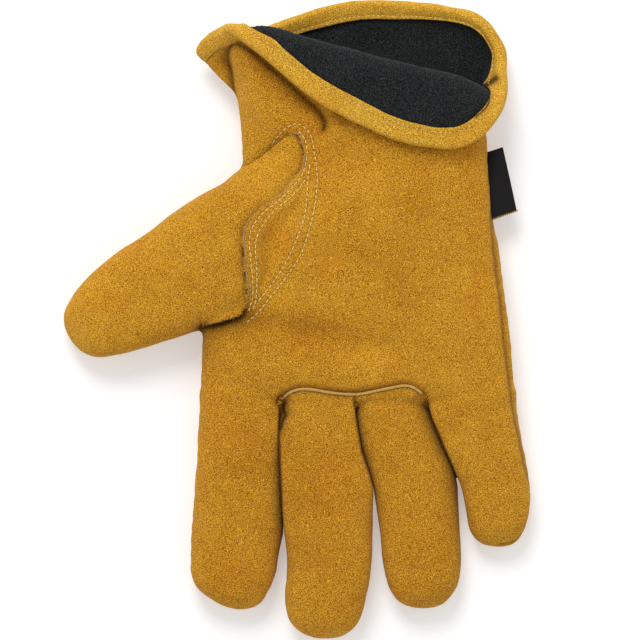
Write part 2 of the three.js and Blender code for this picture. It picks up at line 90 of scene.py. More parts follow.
RING = [
    [-117.6, 50.9, 50.9, 10.0],
    [-116.7, 45.2, 56.6, 12.0],
    [-113.9, 40.0, 61.0, 15.0],
    [-108.8, 36.9, 64.3, 17.6],
    [-99.5, 34.9, 66.1, 19.2],
    [-88.0, 33.4, 65.9, 20.4],
    [-77.0, 31.8, 65.4, 21.1],
    [-71.0, 30.6, 65.1, 21.4],
    [-63.0, 27.5, 64.8, 21.8],
    [-50.8, 23.8, 61.0, 22.3],
    [-36.0, 21.6, 55.0, 23.2],
    [-25.0, 24.0, 51.0, 23.0],
    [-17.0, 29.0, 46.0, 19.0],
]
LITTLE = [
    [-92.3, 81.2, 81.2, 9.0],
    [-91.6, 76.0, 86.4, 11.0],
    [-89.3, 72.3, 89.4, 14.0],
    [-85.3, 69.6, 92.0, 16.6],
    [-76.0, 67.9, 94.5, 18.8],
    [-65.0, 65.2, 93.7, 20.2],
    [-50.0, 57.0, 91.2, 21.8],
    [-36.0, 51.8, 89.2, 22.8],
    [-25.0, 52.4, 87.8, 23.4],
    [-17.0, 58.0, 83.0, 19.0],
]
THUMB = [
    [-89.3, 0.0, 0.0, 11.0],
    [-88.5, -5.4, 5.9, 13.0],
    [-86.0, -9.7, 10.2, 16.5],
    [-81.5, -12.9, 13.7, 19.8],
    [-72.0, -17.2, 17.0, 22.6],
    [-56.0, -20.6, 20.2, 24.6],
    [-39.0, -22.4, 22.9, 27.0],
    [-22.0, -25.2, 27.2, 30.0],
    [-6.0, -25.6, 29.0, 31.4],
    [4.0, -27.0, 24.0, 29.0],
    [11.0, -18.0, 14.0, 21.0],
]
THUMB_ROOT, THUMB_HEADING = (-14.3, 35.2), math.radians(27.9)
# Where two fingers meet, as seen from above: across and along
GAPS = {
    "index_middle": [[-7.4, -20.0], [-7.4, -30.0], [-7.8, -45.0], [-7.2, -60.0], [-6.4, -75.0],
                     [-5.9, -87.0], [-6.8, -100.0], [-8.0, -130.0]],
    "middle_ring": [[22.3, -20.0], [22.6, -33.0], [24.4, -44.7], [25.8, -52.8], [28.6, -61.0],
                    [30.7, -68.0], [31.6, -80.0], [31.4, -100.0], [30.4, -130.0]],
    "ring_little": [[51.2, -20.0], [51.8, -31.0], [54.4, -40.0], [58.0, -48.7], [62.5, -59.0],
                    [65.2, -68.0], [66.8, -80.0], [67.6, -130.0]],
}
# The fingers are melted while they are spread apart, and are brought together after it: how far
# apart, and where the spread starts and is full. Together, a small gap with round lips is left.
SPREAD, SPREAD_START, SPREAD_LENGTH = 4.8, -28.0, 10.0
FINGER_SHIFTS = np.array([-1.5, -0.5, 0.5, 1.5]) * SPREAD
CLEFT_HALF, CLEFT_EASE = -0.08, 0.4
# A section is widest at a share of its height, the more so at a low tip, and it is also lower and
# rounder where it is narrower than a share of the greatest width.
WIDEST, TIP_LIFT, BLUNT = 0.47, 0.45, 0.62
HAND_SQUARENESS, HAND_PRESSED = 2.8, 0.2
DIGIT_SQUARENESS, DIGIT_PRESSED = 2.7, 0.1
# A finger that lies over the next one has a full, square shoulder there, and the one that goes
# under it slopes down: squareness of the left and of the right side at places along each finger
SHOULDERS = [
    [[-100, 2.7, 2.7], [-86, 2.7, 2.2], [-60, 2.7, 2.6], [-46, 2.7, 4.2], [-28, 2.7, 4.2]],
    [[-100, 2.7, 2.7], [-86, 4.2, 3.0], [-60, 4.6, 4.6], [-48, 4.0, 4.8], [-28, 2.6, 4.2]],
    [[-90, 2.7, 2.5], [-66, 2.5, 2.1], [-28, 2.4, 2.1]],
    [[-84, 2.7, 2.7], [-66, 5.0, 2.7], [-28, 5.0, 2.7]],
]
FLOOR_SOFTNESS = 0.9
TUBE_RINGS, HAND_SIDES, DIGIT_SIDES = 110, 180, 90
VOXEL, SMOOTHINGS = 0.95, 6


def ramp(values, start, length):
    """Rises from 0 at the start to 1 after the length, or falls if the length is below zero."""
    return np.clip((values - start) / length, 0, 1)


def eased(share):
    """A share between 0 and 1 that starts and ends gently."""
    return share * share * (3 - 2 * share)


def read(table, where, column=1):
    """A column of a table, read between its rows by the first column."""
    table = np.array(sorted(table), float)
    return np.interp(where, table[:, 0], table[:, column])


def gap_at(name, along):
    """How far across two fingers meet, at places along them."""
    return read([[y, x] for x, y in GAPS[name]], along)


def through(knots, rows, spots):
    """A smooth curve through rows at their knots, at the given spots, in three parts that add up to
    it: what comes from the row before, from the row after, and from the slope there."""
    slopes = np.gradient(rows, knots, axis=0)
    before = np.clip(np.searchsorted(knots, spots, side="right") - 1, 0, len(rows) - 2)
    span = (knots[before + 1] - knots[before])[:, None]
    part = (spots - knots[before])[:, None] / span
    start = (1 + 2 * part) * (1 - part) ** 2 * rows[before]
    start += part * (1 - part) ** 2 * span * slopes[before]
    end = part ** 2 * (3 - 2 * part) * rows[before + 1]
    return start, end, part ** 2 * (part - 1) * span * slopes[before + 1]


def curve(rows, count=40, closed=False):
    """Many rows along a smooth curve through a few."""
    rows = np.asarray(rows, float)
    if closed:
        rows = np.vstack([rows[-3:], rows, rows[:4]])
    knots = np.concatenate([[0], np.cumsum(np.linalg.norm(np.diff(rows, axis=0), axis=1) ** 0.5)])
    first, last = (knots[3], knots[-4]) if closed else (knots[0], knots[-1])
    start, end, slope = through(knots, rows, np.linspace(first, last, count, endpoint=not closed))
    return start + (end + slope)


def sections(rows, turns, squareness, pressed, shoulders=()):
    """Distance across and height of the points round each section, turned from the left side over
    the top. Heights below the floor are eased up to it."""
    rows = np.asarray(rows, float)
    for column, sign in ((1, 1), (2, -1)) if shoulders else ():
        on_side = (np.sin(turns) > 0) & (sign * np.cos(turns) > 0)
        squareness = np.where(on_side, read(shoulders, rows[:, ALONG], column)[:, None], squareness)
    left, right, top = (rows[:, k, None] for k in (LEFT, RIGHT, TOP))
    width = right - left
    fullness = np.sqrt(np.clip(width / (BLUNT * width.max()), 0, 1))
    side, rise = -np.cos(turns)[None], np.sin(turns)[None]
    middle = WIDEST * (top + TIP_LIFT * (top.max() - top))
    reach = np.where(rise > 0, top - middle, middle + top * pressed) * fullness
    across = (left + right) / 2 + np.sign(side) * np.abs(side) ** (2 / squareness) * width / 2
    height = middle + np.sign(rise) * np.abs(rise) ** (2 / squareness) * reach
    return across, (height + np.sqrt(height ** 2 + FLOOR_SOFTNESS ** 2)) / 2


def tube_faces(count, sides):
    """Faces of a tube of rings, closed at both ends."""
    ids = np.arange(count * sides).reshape(count, sides)
    beside = np.roll(ids, -1, axis=1)
    quads = np.stack([ids[:-1], beside[:-1], beside[1:], ids[1:]], axis=2)
    return quads.reshape(-1, 4).tolist() + [ids[0, ::-1].tolist(), ids[-1].tolist()]


def tube(rows, squareness, pressed, root=(0, 0), heading=math.pi / 2, sides=DIGIT_SIDES, shoulders=()):
    """Points of a closed tube through the sections of a table, ring by ring, and its faces."""
    turns = np.linspace(0, 2 * math.pi, sides, endpoint=False)
    dense = curve(rows, TUBE_RINGS)
    across, height = sections(dense, turns, squareness, pressed, shoulders)
    ahead = np.array([math.cos(heading), math.sin(heading)])
    right = np.array([ahead[1], -ahead[0]])
    plan = np.asarray(root) + dense[:, ALONG, None, None] * ahead + across[..., None] * right
    return np.dstack([plan, height]).reshape(-1, 3), tube_faces(TUBE_RINGS, sides)


def together(meshes):
    """Points and faces of several meshes as those of one."""
    points, faces, start = [], [], 0
    for some, some_faces in meshes:
        points.append(some)
        faces += [[start + k for k in face] for face in some_faces]
        start += len(some)
    return np.vstack(points), faces


def melted(tubes):
    """One skin round several overlapping tubes: its points and its triangles."""
    points, faces = together(tubes)
    mesh = bpy.data.meshes.new("form")
    mesh.from_pydata(points.tolist(), [], faces)
    form = bpy.data.objects.new("form", mesh)
    bpy.context.scene.collection.objects.link(form)
    cells = form.modifiers.new("cells", "REMESH")
    cells.mode = "VOXEL"
    cells.voxel_size = VOXEL
    result = form.evaluated_get(bpy.context.evaluated_depsgraph_get()).to_mesh()
    result.calc_loop_triangles()
    skin = np.empty(len(result.vertices) * 3)
    result.vertices.foreach_get("co", skin)
    triangles = np.empty(len(result.loop_triangles) * 3, int)
    result.loop_triangles.foreach_get("vertices", triangles)
    bpy.data.objects.remove(form)
    bpy.data.meshes.remove(mesh)
    return skin.reshape(-1, 3), triangles.reshape(-1, 3)


def sides_of(triangles):
    """The three sides of every triangle, each in that triangle's direction."""
    return np.vstack([triangles[:, [0, 1]], triangles[:, [1, 2]], triangles[:, [2, 0]]])


def edges_of(triangles):
    """Every edge once, and how many triangles share it."""
    pairs = np.sort(sides_of(triangles), axis=1)
    size = int(pairs.max()) + 1
    codes, counts = np.unique(pairs[:, 0] * size + pairs[:, 1], return_counts=True)
    return np.stack([codes // size, codes % size], axis=1), counts


def smoothed(points, triangles, times):
    """Points eased towards the mean of their neighbours."""
    edges, _ = edges_of(triangles)
    a, b = np.vstack([edges, edges[:, ::-1]]).T
    neighbours = np.maximum(np.bincount(a, minlength=len(points)), 1)[:, None]
    for _ in range(times):
        sums = np.stack([np.bincount(a, points[b, k], len(points)) for k in range(3)], axis=1)
        points = points + (sums / neighbours - points) / 2
    return points


def parting(along):
    """How far the fingers are spread at each place along them, from 0 in the hand to 1."""
    return eased(ramp(along, SPREAD_START, -SPREAD_LENGTH))


def spread_finger(number, rows):
    """One finger's tube, moved aside from where it lies in the end."""
    points, faces = tube(rows, DIGIT_SQUARENESS, DIGIT_PRESSED, shoulders=SHOULDERS[number])
    points[:, 0] += FINGER_SHIFTS[number] * parting(points[:, 1])
    return points, faces


def brought_together(points):
    """Moves the spread fingers back, and presses each flat where it meets the next one."""
    points = points.copy()
    along = points[:, 1]
    part = parting(along)
    lines = [gap_at(name, along) for name in GAPS]
    middles = [line + part * (FINGER_SHIFTS[k] + FINGER_SHIFTS[k + 1]) / 2 for k, line in enumerate(lines)]
    finger = sum((points[:, 0] > middle).astype(int) for middle in middles)
    across = points[:, 0] - FINGER_SHIFTS[finger] * part
    for k, line in enumerate(lines):
        for side, number in ((1, k), (-1, k + 1)):
            room = side * (line - across) - CLEFT_HALF
            pressed = CLEFT_EASE * np.logaddexp(0, room / CLEFT_EASE)
            moved = line - side * (pressed + CLEFT_HALF)
            across = np.where(finger == number, across + part * (moved - across), across)
    points[:, 0] = np.where(part > 0, across, points[:, 0])
    return points


skin, triangles = melted([
    tube(HAND, HAND_SQUARENESS, HAND_PRESSED, sides=HAND_SIDES),
    *[spread_finger(number, rows) for number, rows in enumerate([INDEX, MIDDLE, RING, LITTLE])],
    tube(THUMB, DIGIT_SQUARENESS, DIGIT_PRESSED, THUMB_ROOT, THUMB_HEADING),
])
skin = brought_together(smoothed(skin, triangles, SMOOTHINGS))

# Cuff. The wall of the hand goes on past the wrist: straight up to the rim at the back, and at the
# front out and over, so that its inside lies on top. Each row gives one place round the wrist, in
# degrees from the thumb side over the palm: the low and the high side of the fold, and the rim.
WRIST = 65.0
CUFF = [
    [0, -24.6, 92.0, 13.0, -31.6, 97.8, 12.5, -40.8, 108.4, 12.0],
    [20, -24.2, 98.3, 18.0, -30.0, 103.1, 17.5, -39.0, 111.8, 18.0],
    [35, -22.3, 104.7, 25.0, -26.6, 108.6, 25.0, -33.4, 115.0, 25.0],
    [45, -19.5, 112.0, 28.5, -22.2, 115.8, 31.5, -26.6, 115.2, 33.5],
    [53, -15.4, 115.4, 29.0, -17.4, 117.2, 34.6, -17.8, 109.2, 35.5],
    [63, -7.8, 115.0, 29.0, -8.8, 115.6, 35.8, -9.0, 102.3, 34.6],
    [75, 4.0, 111.6, 29.2, 2.6, 111.8, 35.0, 3.9, 91.6, 32.6],
    [90, 21.9, 106.6, 29.0, 20.7, 106.6, 34.0, 19.1, 82.7, 30.6],
    [105, 42.2, 101.4, 28.8, 40.6, 101.4, 33.4, 39.8, 73.7, 29.4],
    [120, 56.8, 97.6, 27.8, 55.6, 97.6, 32.4, 54.4, 70.7, 28.6],
    [140, 67.0, 95.2, 25.4, 66.6, 95.2, 30.4, 66.4, 71.1, 27.4],
    [160, 72.8, 93.0, 20.0, 73.0, 93.8, 25.6, 76.0, 77.2, 25.8],
    [180, 74.2, 90.6, 12.5, 75.0, 91.6, 17.5, 83.8, 88.2, 22.0],
    [200, 77.2, 93.0, 6.5, 79.6, 97.0, 8.5, 84.6, 100.5, 15.5],
    [220, 75.5, 99.5, 1.5, 80.0, 106.6, 3.0, 83.2, 112.6, 11.0],
    [240, 60.0, 105.6, 0.0, 66.4, 115.0, 0.5, 72.2, 124.6, 8.0],
    [270, 27.2, 108.0, 0.0, 27.6, 115.0, 0.0, 28.0, 129.4, 2.5],
    [300, -5.3, 106.0, 0.0, -3.2, 112.5, 0.5, 2.0, 124.6, 4.0],
    [320, -16.2, 101.6, 1.0, -16.2, 107.4, 2.0, -14.0, 118.4, 5.0],
    [340, -21.8, 94.4, 6.0, -25.4, 100.1, 6.5, -33.0, 111.0, 6.5],
]
CUFF_ROWS, CUFF_LENGTH = 76, 68.0
WRIST_STRAIGHT, FOLD_STRAIGHT, FOLD_SHARE = 9.0, 8.0, 0.45
KNOTS = np.array([0, 0, 0, 0, 0.25, 0.5, 0.75, 1, 1, 1, 1.0])
CUFF_FINENESS, TURNS_FINENESS = 400, 1440
SNAP_LIMIT = 3.0
# The join at the wrist is smoothed over, less and less away from it and not past a share of the cuff.
JOIN_WIDTH, JOIN_SMOOTHINGS, JOIN_END = 5.0, 8, 0.3


def snapped(points, triangles, field):
    """Moves points onto the line where the field changes sign, and returns both, so that the
    triangles on either side of the line end at it."""
    points, field = points.copy(), field.copy()
    a, b = edges_of(triangles)[0].T
    crossing = (field[a] * field[b] < 0) & (np.abs(field[a] - field[b]) < SNAP_LIMIT)
    a, b = a[crossing], b[crossing]
    share = field[a] / (field[a] - field[b])
    near = np.where(share < 0.5, a, b)
    places = points[a] + share[:, None] * (points[b] - points[a])
    order = np.argsort(-np.minimum(share, 1 - share))
    points[near[order]] = places[order]
    field[near] = 0
    return points, field


def basis(spots):
    """Weights of a cubic spline's control points at the given spots."""
    spots = np.clip(spots, 0, 1 - 1e-9)[:, None]
    weights = ((KNOTS[:-1] <= spots) & (spots < KNOTS[1:])).astype(float)
    for degree in (1, 2, 3):
        count = len(KNOTS) - degree - 1
        rising = np.zeros((len(spots), count))
        for i in range(count):
            up, down = KNOTS[i + degree] - KNOTS[i], KNOTS[i + degree + 1] - KNOTS[i + 1]
            if up > 0:
                rising[:, i] += ((spots - KNOTS[i]) / up)[:, 0] * weights[:, i]
            if down > 0:
                rising[:, i] += ((KNOTS[i + degree + 1] - spots) / down)[:, 0] * weights[:, i + 1]
        weights = rising
    return weights


def lengths_along(line):
    """How far along a line each of its points is."""
    return np.concatenate([[0], np.cumsum(np.linalg.norm(np.diff(line, axis=0), axis=1))])


def at_lengths(spots, lengths, line):
    """The places on a line, or the values along it, at the given lengths."""
    return np.stack([np.interp(spots, lengths, values) for values in line.T], axis=-1)


def cuff_columns(starts, turns):
    """A grid of points from the wrist to the rim, one column for each start at its turn, with its
    rows evenly spread along the column."""
    around = np.array(CUFF[-3:] + CUFF + CUFF[:3], float)
    around[:3, 0] -= 360
    around[-3:, 0] += 360
    places = sum(through(around[:, 0], around[:, 1:], turns))
    places[:, [2, 5, 8]] = np.maximum(places[:, [2, 5, 8]], 0)
    low, high, rim = places[:, :3], places[:, 3:6], places[:, 6:]
    leaving = starts + [0, WRIST_STRAIGHT, 0]
    back = starts - low
    before_fold = low + FOLD_STRAIGHT * back / np.linalg.norm(back, axis=1)[:, None]
    reach = np.linalg.norm(rim - high, axis=1)[:, None]
    after_fold = high + (rim - high) * np.minimum(FOLD_SHARE, FOLD_STRAIGHT / reach)
    controls = np.stack([starts, leaving, before_fold, low, high, after_fold, rim], axis=1)
    lines = np.einsum("sk,ckx->csx", basis(np.linspace(0, 1, CUFF_FINENESS)), controls)
    grid = np.empty((len(starts), CUFF_ROWS, 3))
    for column, line in enumerate(lines):
        lengths = lengths_along(line)
        grid[column] = at_lengths(np.linspace(0, lengths[-1], CUFF_ROWS), lengths, line)
    return grid


def open_sides(triangles):
    """The sides that only one triangle has."""
    edges, counts = edges_of(triangles)
    lonely = {tuple(edge) for edge in edges[counts == 1].tolist()}
    return [pair for pair in sides_of(triangles).tolist() if (min(pair), max(pair)) in lonely]


def boundary_loop(triangles):
    """Points of the longest open edge of a mesh, in order."""
    following = dict(open_sides(triangles))
    loops = []
    while following:
        start, point = following.popitem()
        loop = [start]
        while point != start:
            loop.append(point)
            point = following.pop(point)
        loops.append(loop)
    return max(loops, key=len)


skin, beyond = snapped(skin, triangles, skin[:, 1] - WRIST)
triangles = triangles[beyond[triangles].sum(axis=1) < 0]
loop = boundary_loop(triangles)
columns = len(loop)
fine_turns = np.linspace(0, 360, TURNS_FINENESS, endpoint=False)
outline = np.dstack(sections([HAND[-1]], np.radians(fine_turns), HAND_SQUARENESS, HAND_PRESSED))[0]
starts = skin[loop]
nearest = np.argmin(((starts[:, None, [0, 2]] - outline[None]) ** 2).sum(axis=2), axis=1)
turns = fine_turns[nearest]
wall = cuff_columns(starts, turns)
grid_ids = np.empty((columns, CUFF_ROWS), int)
grid_ids[:, 0] = loop
grid_ids[:, 1:] = len(skin) + np.arange(columns * (CUFF_ROWS - 1)).reshape(columns, CUFF_ROWS - 1)
beside = np.roll(grid_ids, -1, axis=0)
a, b, c, d = (ids.ravel() for ids in (grid_ids[:, :-1], beside[:, :-1], beside[:, 1:], grid_ids[:, 1:]))
skin = np.vstack([skin, wall[:, 1:].reshape(-1, 3)])
triangles = np.vstack([triangles, np.stack([b, a, d], axis=1), np.stack([b, d, c], axis=1)])
up_the_cuff = np.zeros(len(skin))
up_the_cuff[grid_ids] = np.linspace(0, 1, CUFF_ROWS)
from_rim = (1 - up_the_cuff) * CUFF_LENGTH
at_join = np.exp(-((skin[:, 1] - WRIST) / JOIN_WIDTH) ** 2) * (up_the_cuff < JOIN_END)
skin += at_join[:, None] * (smoothed(skin, triangles, JOIN_SMOOTHINGS) - skin)

# Flap. On the thumb side the cuff's suede flares out from behind the palm's rounded edge, and lies
# lower than that edge does, in its shade. Its edge is given as seen from above.
FLAP_EDGE = [[-23.0, 116.0], [-24.6, 112.4], [-26.8, 109.4], [-27.2, 106.8], [-26.2, 101.9],
             [-25.4, 94.6], [-24.4, 86.0], [-24.0, 80.0]]
FLAP_LEFT = [[-60.0, 80.0], [-60.0, 116.0]]
# How far it drops and how dark it gets at that edge, each with the length over which it fades
FLAP_DROP, FLAP_SHADE = (7.5, 6.0), (1.05, 3.0)
FLAP_STEP = 0.9
# Distances from a line are measured up to this far
LINE_REACH = 20.0
# Where the drop and the shade set in: a start, and the length after it to full strength
DROP_FROM_RIM, DROP_FROM_WRIST, DROP_FROM_LOW, DROP_UP_THE_CUFF = (6, 8), (86, 8), (13, 7), (0.02, 0.1)
SHADE_FROM_WRIST, SHADE_FROM_LOW, SHADE_FROM_EDGE = (82, 8), (4, 4), (-0.32, 0.8)


def from_line(plan, line):
    """Distance of each place from a line, both as seen from above, and how far along it that is.
    Places further off than the reach are left at it."""
    best, along = np.full(len(plan), LINE_REACH), np.zeros(len(plan))
    low, high = line.min(axis=0) - LINE_REACH, line.max(axis=0) + LINE_REACH
    close = np.all((plan > low) & (plan < high), axis=1)
    spots = plan[close]
    distances, places = best[close], along[close]
    passed = 0.0
    for a, b in zip(line[:-1], line[1:]):
        step = b - a
        length = np.linalg.norm(step)
        share = np.clip((spots - a) @ step / length ** 2, 0, 1)
        distance = np.linalg.norm(spots - a - share[:, None] * step, axis=1)
        closer = distance < distances
        distances[closer] = distance[closer]
        places[closer] = passed + share[closer] * length
        passed += length
    best[close], along[close] = distances, places
    return best, along


def into_outline(plan, outline):
    """Distance from the edge of an outline, above zero inside it."""
    inside = np.zeros(len(plan), bool)
    for (ax, ay), (bx, by) in zip(outline, np.roll(outline, -1, axis=0)):
        if ay != by:
            level = (plan[:, 1] < ay) != (plan[:, 1] < by)
            inside ^= level & (plan[:, 0] < ax + (plan[:, 1] - ay) / (by - ay) * (bx - ax))
    distance, _ = from_line(plan, np.vstack([outline, outline[:1]]))
    return np.where(inside, distance, -distance)


def fading(distance, height, length):
    """A height at no distance, and less and less of it further off."""
    return height * np.exp(-distance / length)


flap = into_outline(skin[:, :2], np.vstack([curve(FLAP_EDGE), FLAP_LEFT]))
free = ramp(from_rim, *DROP_FROM_RIM) * ramp(skin[:, 1], *DROP_FROM_WRIST)
free *= ramp(skin[:, 2], *DROP_FROM_LOW) * ramp(up_the_cuff, *DROP_UP_THE_CUFF)
skin[:, 2] -= free * fading(np.maximum(flap, 0), *FLAP_DROP) * eased(ramp(flap, 0, FLAP_STEP))
flap_shade = ramp(skin[:, 1], *SHADE_FROM_WRIST) * ramp(skin[:, 2], *SHADE_FROM_LOW)
flap_shade *= (up_the_cuff > DROP_UP_THE_CUFF[0]) * ramp(flap, *SHADE_FROM_EDGE)
flap_shade *= fading(np.maximum(flap, 0), *FLAP_SHADE)

# Dents, seams and puckers of the leather. Seams are drawn as seen from above, in millimetres; the
# leather dips into each, and the panels are cut along them.
THUMB_SEAM = [
    [-32.0, 66.0], [-23.6, 61.9], [-11.4, 69.0], [-0.8, 75.5], [2.4, 68.6], [2.0, 62.1],
    [-1.6, 57.2], [-6.5, 51.2], [-13.0, 46.3], [-19.5, 40.6], [-21.9, 34.5], [-21.5, 26.8],
    [-20.7, 17.1], [-19.9, 10.6], [-23.1, 2.6], [-31.0, -0.9], [-38.9, -3.4], [-42.0, -12.0],
]
GUSSET_SEAM = [
    [-0.8, 75.5], [3.6, 73.0], [5.8, 66.0], [5.6, 56.0], [3.6, 46.0], [0.0, 33.0], [-6.0, 21.0],
    [-13.0, 10.5], [-19.9, 3.6], [-23.1, 2.6],
]
PALM_EDGE_UNDER_THUMB = [[-32.0, 66.0], [-23.6, 61.9], [-31.5, 28.4], [-38.9, -3.4], [-42.0, -12.0]]
KNUCKLE_SEAM = [
    [-7.3, -33.0], [-6.9, -32.2], [-5.3, -30.7], [-2.5, -28.9], [1.2, -27.9], [6.0, -28.1],
    [14.2, -29.5], [21.9, -30.0], [27.0, -29.6], [31.0, -28.7], [38.0, -27.3], [43.0, -26.5],
    [46.0, -27.0], [48.6, -28.5], [50.6, -30.2],
]
FAR_LEFT = [[-120.0, -34.0], [-120.0, 66.0]]
# The strips between the fingers: their middle, half height and reach, and their taper along them
LEAF_MIDDLE, LEAF_HALF, LEAF_REACH = 9.8, 4.6, 14.0
LEAF_TAPER = [[-29.5, 1.0], [-72.0, 0.8], [-97.0, 0.35], [-107.0, 0.0]]
# Heights of the seam round the side along the glove, on the flap and under the thumb
SEAM_HEIGHT = [[-140, 6.5], [-116, 7.5], [-100, 10], [-30, 12.5], [60, 13.5], [140, 13]]
FLAP_SEAM_HEIGHT = [[60, 13.5], [85, 9], [140, 5]]
THUMB_SEAM_HEIGHT = 12.5
# How far out the side seam lies along the little finger's side
OUTER_SEAM = [
    [-75, 99], [-66, 94.5], [-58.6, 91.9], [-51.4, 90.6], [-41.0, 88.5], [-30.6, 86.6], [-20.3, 85.4],
    [-7.7, 83.4], [8.1, 82.0], [28.8, 79.2], [40.6, 78.8], [52, 80], [60, 84],
]
# Places that the seams' fields are limited to: beyond these on the flap, on the little finger's side,
# and beside the gusset; shares of the cuff that the thumb's and the gusset's seams reach up to; and
# a field's value outside its places
FLAP_RIGHT, FLAP_START, LITTLE_SIDE = -10, 60, 60
GUSSET_LEFT, GUSSET_LOW, GUSSET_HIGH, GUSSET_RIGHT = -23.5, 2.0, 62.5, -0.8
THUMB_UP_TO, GUSSET_UP_TO = 0.2, 0.3
NOWHERE = 9.0


thumb_line, gusset_line, knuckle_line = curve(THUMB_SEAM, 70), curve(GUSSET_SEAM), curve(KNUCKLE_SEAM)
thumb_outline = np.vstack([thumb_line, FAR_LEFT])
thumb_outline_below = np.vstack([curve(PALM_EDGE_UNDER_THUMB), FAR_LEFT])
beside_gusset = (thumb_line[:, 0] > GUSSET_LEFT) & (thumb_line[:, 1] > GUSSET_LOW)
beside_gusset &= (thumb_line[:, 1] < GUSSET_HIGH) | (thumb_line[:, 0] > GUSSET_RIGHT)
gusset_outline = np.vstack([gusset_line, thumb_line[beside_gusset][::-1]])


def fields_of(points):
    """How far each point is past each seam, in millimetres."""
    x, y, z = points.T
    plan = points[:, :2]
    above = z > THUMB_SEAM_HEIGHT
    over = np.where(above, into_outline(plan, thumb_outline), into_outline(plan, thumb_outline_below))
    on_flap = (x < FLAP_RIGHT) & (y > FLAP_START)
    front = z - np.where(on_flap, read(FLAP_SEAM_HEIGHT, y), read(SEAM_HEIGHT, y))
    outer = (x > LITTLE_SIDE) & (y > OUTER_SEAM[0][0]) & (y < OUTER_SEAM[-1][0])
    return {
        "thumb": np.where(up_the_cuff < THUMB_UP_TO, over, -NOWHERE),
        "front": np.where(outer, np.minimum(front, read(OUTER_SEAM, y) - x), front),
        "gusset": np.where(above & (up_the_cuff < GUSSET_UP_TO), into_outline(plan, gusset_outline),
                           -NOWHERE),
        "finger": np.where(above, read(knuckle_line.tolist(), x) - y, NOWHERE),
    }


def leaf_field(points):
    """How far each point is inside the strip between two fingers, and which strip that is."""
    x, y, z = points.T
    tall = LEAF_HALF * read(LEAF_TAPER, y)
    best, which = np.full(len(points), -NOWHERE), np.zeros(len(points), int)
    for number, name in enumerate(GAPS):
        inside = np.minimum(tall - np.abs(z - LEAF_MIDDLE), LEAF_REACH - np.abs(x - gap_at(name, y)))
        inside = np.where((y < LEAF_TAPER[0][0]) & (y > LEAF_TAPER[-1][0]), inside, -NOWHERE)
        closer = inside > best
        best[closer], which[closer] = inside[closer], number
    return best, which


for name in ("thumb", "front", "gusset", "finger"):
    skin, _ = snapped(skin, triangles, fields_of(skin)[name])
skin, _ = snapped(skin, triangles, leaf_field(skin)[0])
fields = fields_of(skin)
leaf, leaf_number = leaf_field(skin)

# Rows of stitches beside the thumb's seam and on the palm's side of the gusset
THUMB_ROW_INNER = [
    [0.0, 76.3], [2.8, 73.1], [3.7, 67.0], [3.2, 63.3], [1.2, 57.7], [-4.1, 51.6], [-8.5, 47.5],
    [-14.2, 43.0], [-18.7, 36.5], [-19.5, 31.3], [-19.1, 24.8], [-18.3, 17.1], [-18.3, 9.3],
    [-19.9, 3.7],
]
THUMB_ROW_OUTER = [
    [3.2, 56.8], [-2.0, 50.3], [-9.7, 43.8], [-14.2, 38.2], [-16.6, 33.3], [-17.1, 28.0],
    [-16.6, 21.5], [-16.6, 13.4], [-17.1, 7.3], [-18.7, 2.8],
]
PALM_ROW_INNER = [
    [4.9, 62.9], [4.1, 57.7], [3.7, 50.8], [2.4, 41.0], [-1.2, 30.9], [-5.3, 22.3], [-11.0, 13.8],
    [-16.6, 6.9],
]
PALM_ROW_OUTER = [
    [-10.6, 71.1], [-6.5, 75.9], [-3.2, 78.4], [-0.4, 79.2], [2.8, 77.5], [5.3, 74.3], [6.5, 68.2],
    [7.7, 59.3], [7.3, 49.5], [4.5, 36.1], [0.8, 25.6], [-4.9, 17.1], [-11.4, 8.9], [-16.6, 2.4],
    [-21.5, -1.6],
]
# A dent, or a swelling above zero: its line from above, its half width, and its height
DENTS = [
    [[[-22, -2], [0.8, -5.4], [19, -8.5], [36, -12]], 6.0, -2.5],
    [[[-28, -18.5], [0, -20.0], [30, -20]], 6.5, 1.3],
    [[[57.7, 23.5], [76, 18.3]], 3.5, -0.7],
    [[[-19.6, 107.6], [-13.6, 103.0], [-7.0, 97.4], [-1.8, 92.8], [3.6, 88.0], [8.2, 83.8], [10.4, 79.0],
      [10.2, 75.5]], 2.2, -2.4],
    [[[10.0, 90.0], [13.6, 84.0], [15.4, 77.0], [14.6, 72.0]], 3.0, 1.3],
    [[[24.0, 78.0], [40.0, 70.5], [54.0, 67.6], [68.0, 69.5]], 4.5, 1.2],
    [[[-18.0, 77.0], [-13.0, 66.0]], 6.0, -1.6],
    [[[-25, -46], [-12, -50]], 5.0, -0.5],
    [[[-38, -60], [-20, -64], [-10, -62]], 4.0, -0.45],
    [[[0, -55], [14, -58], [25, -55]], 4.5, -0.5],
    [[[35, -50], [52, -56]], 4.0, -0.5],
    [[[62, -44], [80, -38]], 5.0, -0.5],
    [[[-52, 36], [-38, 18]], 7.0, -0.6],
    [[[-5.6, -34.2], [-4.8, -37.4]], 1.9, -1.3],
]
# Deep folds that hardly any light reaches: a line from above, its half width, and how dark
SHADED_FOLDS = [
    [[[-27.4, 111.8], [-23.6, 111.0], [-19.2, 108.4], [-13.4, 103.4], [-6.8, 97.8], [-1.6, 93.2],
      [3.8, 88.2], [8.4, 84.0], [10.6, 80.0], [10.4, 77.0]], 1.2, 0.85],
    [[[-7.0, -33.8], [-6.3, -36.6], [-5.7, -38.8], [-6.4, -41.0], [-7.1, -44.0]], 1.0, 1.0],
]
# Uneven places all over the leather: height, size, and the number that the noise starts from
UNEVEN = [[0.45, 22.0, 1], [0.28, 9.0, 2], [0.09, 3.2, 3]]
